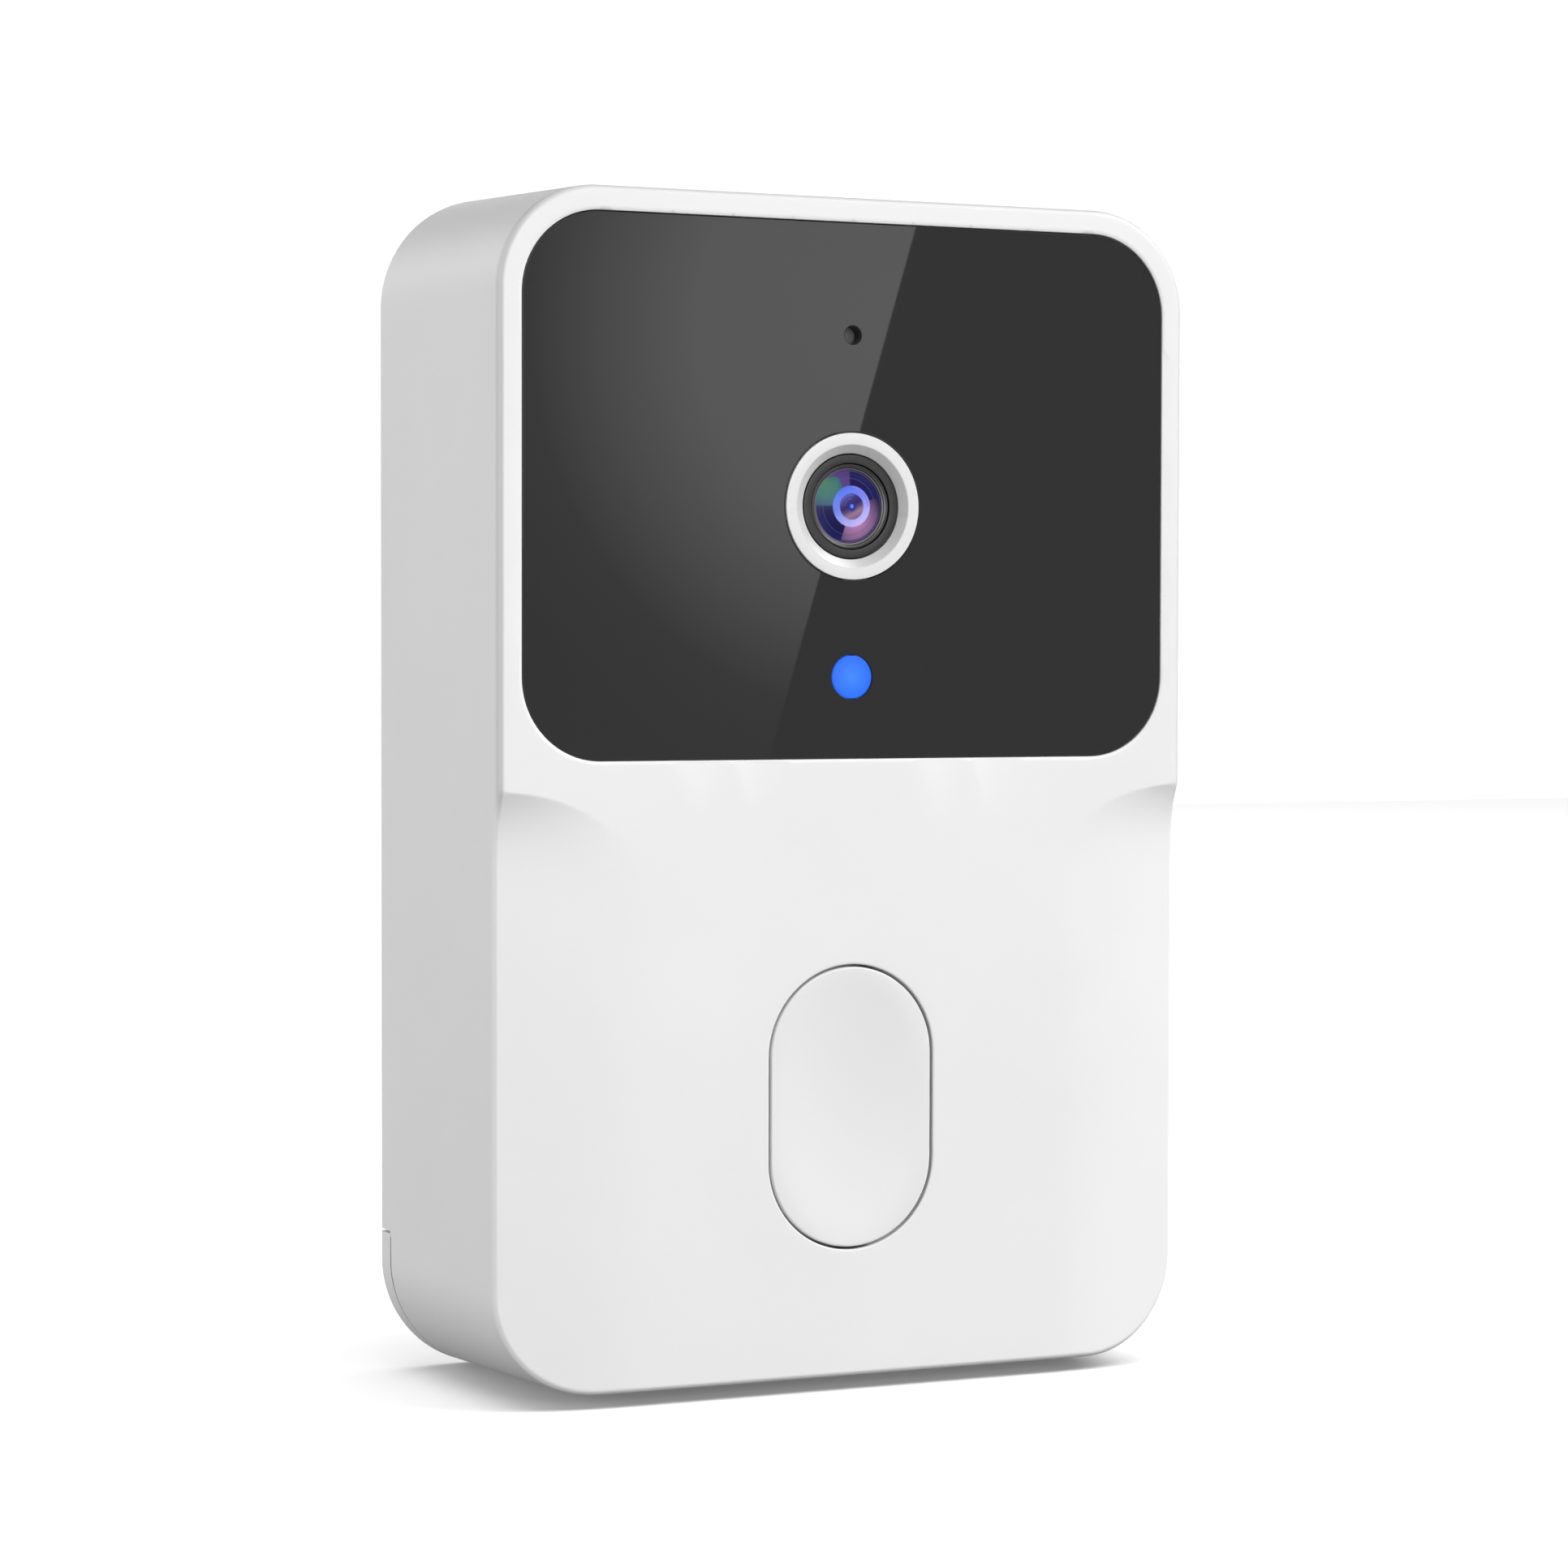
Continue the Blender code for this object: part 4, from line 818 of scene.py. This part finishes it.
# ---- rear cover
def rear_cover():
    """The sliding cover: a plate, a band across the body's lower rear, a foot and two tongues."""
    plate = slab("cover", INNER_HALF - PLATE_GAP, LOW + 0.0060, COVER_HIGH.z, INNER_CORNER - PLATE_GAP,
                 COVER_FRONT, REAR, COVER_WHITE, 0.0, 0.00025, 24)
    rows = [body_ring(inset, REAR - depth) for inset, depth in outer_round(REAR_EDGE, 5)]
    band = loft("band", [*rows, body_ring(0.0, FRONT)], COVER_WHITE)
    limit = box("band_limit", (-HALF - 0.004, HALF + 0.004), (COVER_FRONT, REAR + 0.004),
                (-0.004, COVER_STEP), COVER_WHITE, 0.0003)
    foot = box("foot", (-FOOT_HALF, FOOT_HALF), (FOOT_FRONT, COVER_FRONT + 0.0005), (-0.004, FOOT_TOP),
               COVER_WHITE)
    boolean(limit, [foot], "UNION")
    boolean(band, [limit], "INTERSECT")
    tongues = [box(f"tongue_{side}", sorted((side * (INNER_HALF - 0.001), side * (INNER_HALF + 0.0006))),
                   (COVER_FRONT + 0.0005, COVER_FRONT + 0.0013), (LOW + 0.0120, RAIL_TOP), COVER_WHITE,
                   0.00008, 1)
               for side in (-1, 1)]
    boolean(plate, [band, *tongues], "UNION")
    foot_z = DRAFT * (REAR - COVER_SCREW_Y) / DEPTH
    screw_at = (0.0, COVER_SCREW_Y, 0.0)
    seat = turned("seat", [(0.0, 0.0018), (0.0019, 0.0018), (0.0019, foot_z + RIM), (0.00202, foot_z),
                           (0.00202, -PAST), (0.0, -PAST)], COVER_WHITE, screw_at, "up", 32)
    shaft = turned("shaft", [(0.0, 0.006), (0.0009, 0.006), (0.0009, 0.0), (0.0, 0.0)], COVER_WHITE,
                   screw_at, "up", 24)
    # From inside outwards: room for a screw's head, a neck, and a chamfer past the cover's back.
    hole = [(radius, REAR + rearward) for radius, rearward in (
        (0.0, -0.00515), (0.0037, -0.00515), (0.0037, -0.00185), (0.0020, -0.00025),
        (0.0020, -0.00015), (0.00218, 0.00003), (0.00218, 0.002), (0.0, 0.002))]
    wall_holes = [front_turned(f"wall_hole_{index}", hole, COVER_WHITE, z, 40)
                  for index, z in enumerate(WALL_HOLES)]
    boolean(plate, [seat, shaft, *wall_holes], "DIFFERENCE")
    return place(plate, "cover", "rear_cover")


# ---- window and lens
def window():
    panel = slab("window_panel", PANEL_HIGH.x, PANEL_LOW.z, PANEL_HIGH.z, PANEL_CORNER, PANEL_LOW.y,
                 PANEL_HIGH.y, SMOKED, 0.00008, 0.0, 28)
    front = PANEL_LOW.y
    rear = PANEL_HIGH.y + PAST

    def hole(name, radius, z, steps):
        rim = 0.00006
        profile = [(0.0, front - PAST), (radius + rim, front - PAST), (radius + rim, front),
                   (radius, front + rim), (radius, rear), (0.0, rear)]
        return front_turned(name, profile, SMOKED, z, steps)

    boolean(panel, [hole("lens_hole", BEZEL_R + 0.0001, LENS_Z, 96),
                    hole("status_hole", STATUS_R, STATUS_Z, 48), hole("mic_hole", MIC_R, MIC_Z, 32)],
            "DIFFERENCE")
    return place(panel, "housing", "front_panel")


def bezel():
    front = BEZEL_LOW.y
    flange = PANEL_HIGH.y + 0.00005
    cone = front + 0.00042
    profile = filleted([(0.00470, front), (BEZEL_R, front), (BEZEL_R, flange), (0.0064, flange),
                        (0.0064, BEZEL_HIGH.y), (0.00404, BEZEL_HIGH.y), (0.00404, cone)], 0.00006, 3, True)
    ring = front_turned("bezel", profile, BEZEL_WHITE, LENS_Z, 128, math.radians(24))
    return place(ring, "housing", "lens_bezel")


def barrel():
    front = BARREL_LOW.y
    rear = BARREL_HIGH.y
    bore = 0.00330
    seat = FRONT + 0.0020
    tube = 0.00240
    profile = filleted([(bore, front), (BARREL_R, front), (BARREL_R, rear), (tube, rear), (tube, seat),
                        (bore, seat)], 0.00006, 3, True)
    body = front_turned("barrel", profile, BARREL_BLACK, LENS_Z, 96)
    place(body, "housing", "lens_barrel")
    low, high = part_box("lens_retaining_ring")
    outer = high.x
    inner = 0.00282
    profile = [(0.00306, low.y + 0.00012), (0.00311, low.y), (0.00318, low.y), (outer, low.y + 0.00005),
               (outer, high.y), (inner, high.y), (inner, low.y + 0.00030), (0.00288, low.y + 0.00022),
               (0.00292, low.y + 0.00022), (0.00295, low.y + 0.00014)]
    ring = front_turned("retaining_ring", filleted(profile, 0.00001, 2, True), RING_BLACK, LENS_Z, 128,
                        math.radians(20))
    return place(ring, "housing", "lens_retaining_ring")


def front_glass():
    low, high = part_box("lens_front_element")
    dome_r = 0.00278
    apex = low.y
    shoulder = FRONT + 0.00092
    profile = [(dome_r * step / 16, apex + (shoulder - apex) * (step / 16) ** 2) for step in range(17)]
    profile += [(high.x, shoulder), (high.x, high.y), (0.0022, high.y), (0.0011, FRONT + 0.0015),
                (0.0, FRONT + 0.0014)]
    glass = front_turned("front_glass", profile, LENS_GLASS, LENS_Z, 96)
    return place(glass, "housing", "lens_front_element")


def status_guide():
    low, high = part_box("status_light_guide")
    radius = high.x
    profile = filleted([(0.0, low.y), (radius, low.y), (radius, high.y), (0.0, high.y)], 0.00008, 4)
    guide = front_turned("status_guide", profile, GUIDE_BLUE, STATUS_Z, 64)
    return place(guide, "housing", "status_light_guide")


def microphone_boot():
    low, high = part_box("microphone_boot")
    radius = high.x
    profile = filleted([(0.0, low.y + 0.00006), (0.00030, low.y + 0.00006), (0.00034, low.y), (radius, low.y),
                        (radius, high.y), (0.0, high.y)], 0.00004, 3)
    boot = front_turned("mic_boot", profile, BOOT_RUBBER, MIC_Z, 40)
    return place(boot, "housing", "microphone_boot")


# ---- button
def dish(x, z):
    """Depth of the button's shallow dish at a point."""
    across = abs(x) / (BUTTON_HALF - 0.0003)
    along = abs(z - BUTTON_Z) / ((BUTTON_TOP - BUTTON_LOW) / 2 - 0.0003)
    share = min(across ** 2 + along ** 2, 1.0)
    return BUTTON_DISH * (1 - share) ** 1.15


def button():
    """The cap: a flange behind the face, a straight side, a rounded edge and a dished front."""
    front = CAP_LOW.y
    edge = 0.00016
    half = BUTTON_HALF

    def ring(inset, grow=0.0):
        return outline(half + grow, BUTTON_LOW - grow, BUTTON_TOP + grow, half + grow, inset, 32)

    flange_front = INNER_FRONT + 0.0002
    flange_rear = flange_front + 0.0008
    rows = [at_depth(ring(0.0, BUTTON_LIP), y) for y in (flange_rear, flange_front)]
    rows += [at_depth(ring(0.0), y) for y in (flange_front, front + edge + 0.0001)]
    rows += [at_depth(ring(inset), front + depth) for inset, depth in reversed(outer_round(edge, 5))]
    bm = bmesh.new()
    verts = [[bm.verts.new(point) for point in row] for row in rows]
    join_rows(bm, verts)
    bm.faces.new(verts[0][::-1])
    rim = [(x, z) for x, y, z in rows[-1]]
    inner = ring(edge + 0.0001)
    pitch = 0.00045
    for row in range(1, int((BUTTON_TOP - BUTTON_LOW) / pitch)):
        z = BUTTON_LOW + row * pitch
        for column in range(-15, 16):
            x = column * pitch + (pitch / 2 if row % 2 else 0.0)
            beyond = max(abs(z - BUTTON_Z) - ((BUTTON_TOP - BUTTON_LOW) / 2 - half), 0.0)
            if math.hypot(x, beyond) < half - edge - 0.0004:
                inner.append((x, z))
    edges = [(index, (index + 1) % len(rim)) for index in range(len(rim))]
    fill_face(bm, verts[-1], [Vector(spot) for spot in rim + inner], edges, lambda x, z: front + dish(x, z))
    cap = mesh_piece("button", bm, BUTTON_WHITE)
    post = front_turned("post", [(0.0, flange_rear - 0.0003), (0.0020, flange_rear - 0.0003),
                                 (0.0020, CAP_HIGH.y), (0.0, CAP_HIGH.y)], BUTTON_WHITE, BUTTON_Z, 32)
    boolean(cap, [post], "UNION")
    return place(cap, "button", "button_cap")


# ---- carried-over nodes
def dress(names, made, edge=0.00008):
    """Give CAD nodes a material, softened edges and smooth shading."""
    for name in names:
        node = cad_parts[name]
        node.data.materials.clear()
        node.data.materials.append(made)
        node.data.polygons.foreach_set("material_index", [0] * len(node.data.polygons))
        weld = node.modifiers.new("weld", "WELD")
        weld.merge_threshold = 0.000002
        if edge:
            bevel = node.modifiers.new("edges", "BEVEL")
            bevel.width = edge
            bevel.segments = 2
            bevel.limit_method = "ANGLE"
            bevel.angle_limit = math.radians(50)
        split = node.modifiers.new("split", "EDGE_SPLIT")
        split.split_angle = SHARP
        node.data.polygons.foreach_set("use_smooth", [True] * len(node.data.polygons))
        weighted = node.modifiers.new("normals", "WEIGHTED_NORMAL")
        weighted.weight = 90


def cell_material(index, negative, positive):
    """A cell's printed jacket along its length: dark band, pale band and bare metal ends."""
    made = new_material(f"cell_jacket_{index}", Roughness=0.3)
    tree = made.node_tree
    where = coordinates(tree)
    along = add(tree, "ShaderNodeSeparateXYZ", {"Vector": where}).outputs["X"]
    share = mapped(tree, along, negative, positive)
    navy, pale, bare = (0.035, 0.085, 0.20), (0.60, 0.62, 0.64), (0.58, 0.58, 0.60)
    feed(made, "Base Color", ramp(tree, share, [(0.006, bare), (0.010, navy), (0.740, navy), (0.745, pale),
                                                (0.965, pale), (0.970, bare)]))
    feed(made, "Metallic", ramp(tree, share, [(0.006, 1.0), (0.010, 0.0), (0.740, 0.0), (0.745, 0.6),
                                              (0.970, 1.0)]))
    bump(made, noise(tree, where, 400.0, 2.0), 0.000004)
    return made


def cells():
    """The three cells, each with a jacket, a raised positive cap and rounded ends."""
    for index in range(1, 4):
        low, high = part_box(f"battery_cell_{index}")
        radius = (high.z - low.z) / 2
        length = high.x - low.x
        forward = high.x > -low.x
        negative, positive = (low.x, high.x) if forward else (high.x, low.x)
        shoulder = length - 0.0012
        profile = [(0.0, 0.0), (radius * 0.84, 0.0), (radius * 0.86, 0.0003), (radius, 0.0003),
                   (radius, shoulder), (radius * 0.88, shoulder), (radius * 0.80, shoulder + 0.0003),
                   (0.0021, shoulder + 0.0003), (0.0019, length), (0.0, length)]
        centre = (negative, (low.y + high.y) / 2, (low.z + high.z) / 2)
        jacket = cell_material(index, negative, positive)
        cell = turned(f"cell_{index}", filleted(profile, 0.00025, 4), jacket, centre,
                      "right" if forward else "left", 64)
        place(cell, "housing", f"battery_cell_{index}")


def numbered(stem, count):
    return [f"{stem}_{index}" for index in range(1, count + 1)]


def carried_over():
    """Materials for the CAD nodes that are shown as they are."""
    dress(["rear_chassis"], CHASSIS_BLACK)
    dress(["panel_adhesive", "speaker_gasket"], RUBBER, 0.0)
    dress(["lens_holder", "aperture_stop"], BARREL_BLACK)
    dress(["lens_inner_element"], LENS_GLASS, 0.0)
    dress(["ir_cut_filter"], FILTER, 0.00004)
    dress(["image_sensor", "soc_chip", "light_sensor", "tact_switch_body", "reset_switch"], CHIP_BLACK)
    dress(["main_board", "light_board", "button_board"], BOARD_GREEN, 0.00005)
    dress(["wifi_shield", "microphone", "speaker_basket", "speaker_magnet", "cover_screw",
           *numbered("housing_screw", 4), *numbered("board_screw", 2)], STEEL)
    dress(["chip_antenna", "status_led", *numbered("ir_led", 4)], CERAMIC)
    dress(["tact_switch_stem", "reset_button"], SWITCH_WHITE)
    dress(numbered("battery_spring", 3), NICKEL, 0.0)
    dress(["battery_contact_negative", "battery_contact_positive", *numbered("battery_bridge", 2)], NICKEL)
    dress(["speaker_cone"], PAPER, 0.0)
    dress(["battery_lead_positive", "speaker_lead"], RED, 0.0)
    dress(["battery_lead_negative", "button_lead"], BLACK, 0.0)


# ---- stage
def direction(turn, lift):
    """The way from the object to a camera or light; a turn of 0 is straight in front of it."""
    return Vector((math.sin(turn) * math.cos(lift), -math.cos(turn) * math.cos(lift), math.sin(lift)))


def look_back(obj, away):
    """Turn an object that stands this way from its target to face it."""
    obj.rotation_mode = "QUATERNION"
    obj.rotation_quaternion = (-away).to_track_quat("-Z", "Y")


def camera():
    back = direction(CAMERA_AZIMUTH, CAMERA_ELEVATION)
    data = bpy.data.cameras.new("camera")
    data.sensor_width = 36.0
    data.lens = CAMERA_LENS
    data.shift_x, data.shift_y = CAMERA_SHIFT
    data.clip_start = 0.01
    data.clip_end = 50.0
    obj = add_object("camera", data)
    obj.location = AIM + back * CAMERA_DISTANCE
    look_back(obj, back)
    obj.rotation_quaternion = obj.rotation_quaternion @ Quaternion((0, 0, 1), CAMERA_ROLL)
    bpy.context.scene.camera = obj


def soft_light(name, azimuth, elevation, power):
    """A square softbox one metre from the object, at an azimuth and elevation in degrees."""
    away = direction(math.radians(azimuth), math.radians(elevation))
    data = bpy.data.lights.new(name, "AREA")
    data.shape = "SQUARE"
    data.size = 0.6
    data.energy = power
    obj = add_object(name, data)
    obj.location = AIM + away
    look_back(obj, away)
    obj.visible_camera = False
    return obj


def emitter(name, strength):
    """A white glowing material."""
    made = bpy.data.materials.new(name)
    made.use_nodes = True
    tree = made.node_tree
    tree.nodes.clear()
    light = add(tree, "ShaderNodeEmission", {"Color": (1.0, 1.0, 1.0, 1.0), "Strength": strength})
    add(tree, "ShaderNodeOutputMaterial", {"Surface": light.outputs[0]})
    return made


def show_only(obj, *rays):
    """Leave an object visible to the named kinds of rays alone."""
    for ray in ("camera", "diffuse", "glossy", "transmission", "volume_scatter", "shadow"):
        setattr(obj, f"visible_{ray}", ray in rays)


def reflected(x, z, far):
    """Where the camera sees a point of the window mirrored, on a plane this far in front."""
    seen_from = bpy.context.scene.camera.location.copy()
    seen_from.y = 2 * PANEL_LOW.y - seen_from.y
    point = Vector((x, PANEL_LOW.y, z))
    along = point - seen_from
    return point + along * ((far - point.y) / along.y)


def window_sheen_card():
    """A tall card that the window mirrors: its slanted edge crosses the glass beside the lens."""
    far = -1.0
    top = reflected(0.0053, LOW + 0.0880, far)
    low = reflected(-0.0070, LOW + 0.0472, far)
    along = (top - low).normalized()
    across = Vector((-along.z, 0.0, along.x))
    if across.x > 0:
        across = -across
    start = low - along * 0.25
    end = top + along * 0.35
    bm = bmesh.new()
    corners = [start, end, end + across * 0.5, start + across * 0.5]
    bm.faces.new([bm.verts.new(corner) for corner in corners])
    made = emitter("sheen_card", SHEEN_STRENGTH)
    tree = made.node_tree
    focus = low + (top - low) * 0.80
    distance = add(tree, "ShaderNodeVectorMath", {0: coordinates(tree), 1: focus},
                   operation="DISTANCE").outputs["Value"]
    falloff = ((0.0, 0.92), (0.3, 0.86), (0.42, 0.54), (0.55, 0.16), (0.68, 0.1), (1.0, 0.085))
    glow = ramp(tree, calc(tree, "DIVIDE", distance, SHEEN_REACH),
                [(position, SHEEN_BRIGHT * level) for position, level in falloff])
    tree.links.new(glow, tree.nodes["Emission"].inputs["Color"])
    card = mesh_piece("sheen_card", bm, made)
    show_only(card, "glossy")


def studio():
    """White world, floor and backdrop, the card that the window mirrors, and the lights."""
    scene = bpy.context.scene
    scene.view_settings.view_transform = "Standard"
    scene.view_settings.look = "None"
    world = bpy.data.worlds.new("studio")
    scene.world = world
    world.use_nodes = True
    tree = world.node_tree
    where = add(tree, "ShaderNodeTexCoord").outputs["Generated"]
    split = add(tree, "ShaderNodeSeparateXYZ", {"Vector": where})
    glow = mapped(tree, split.outputs["Z"], -1.0, 1.0, WORLD_BELOW, WORLD_ABOVE)
    background = tree.nodes["Background"].inputs
    tree.links.new(glow, background["Strength"])
    background["Color"].default_value = (1.0, 1.0, 1.0, 1.0)

    bm = bmesh.new()
    bmesh.ops.create_grid(bm, x_segments=1, y_segments=1, size=1.0)
    matt = new_material("floor_white", Base_Color=(0.9, 0.9, 0.9, 1.0), Roughness=0.9, Specular_IOR_Level=0.1)
    floor = mesh_piece("floor", bm, matt)
    show_only(floor, "camera", "shadow")
    bm = bmesh.new()
    bmesh.ops.create_icosphere(bm, subdivisions=4, radius=3.0)
    backdrop = mesh_piece("backdrop", bm, emitter("backdrop_white", BACKDROP_GLOW))
    show_only(backdrop, "camera")
    window_sheen_card()

    sun = bpy.data.lights.new("floor_light", "SUN")
    sun.energy = FLOOR_LIGHT
    sun.angle = math.radians(70)
    overhead = add_object("floor_light", sun)
    only_floor = bpy.data.collections.new("floor_light_receivers")
    only_floor.objects.link(floor)
    overhead.light_linking.receiver_collection = only_floor
    soft_light("front_box", 0, 5, 6.35)
    soft_light("right_box", 60, 40, 8.9)
    soft_light("low_right_box", 40, 5, 1.7).visible_glossy = False
    soft_light("left_box", -90, 5, 6.3)
    soft_light("rear_box", -130, 30, 2.1)
    soft_light("back_box", 180, 4, 3.0)


camera()
housing()
rear_cover()
window()
bezel()
barrel()
front_glass()
status_guide()
microphone_boot()
button()
cells()
carried_over()
studio()
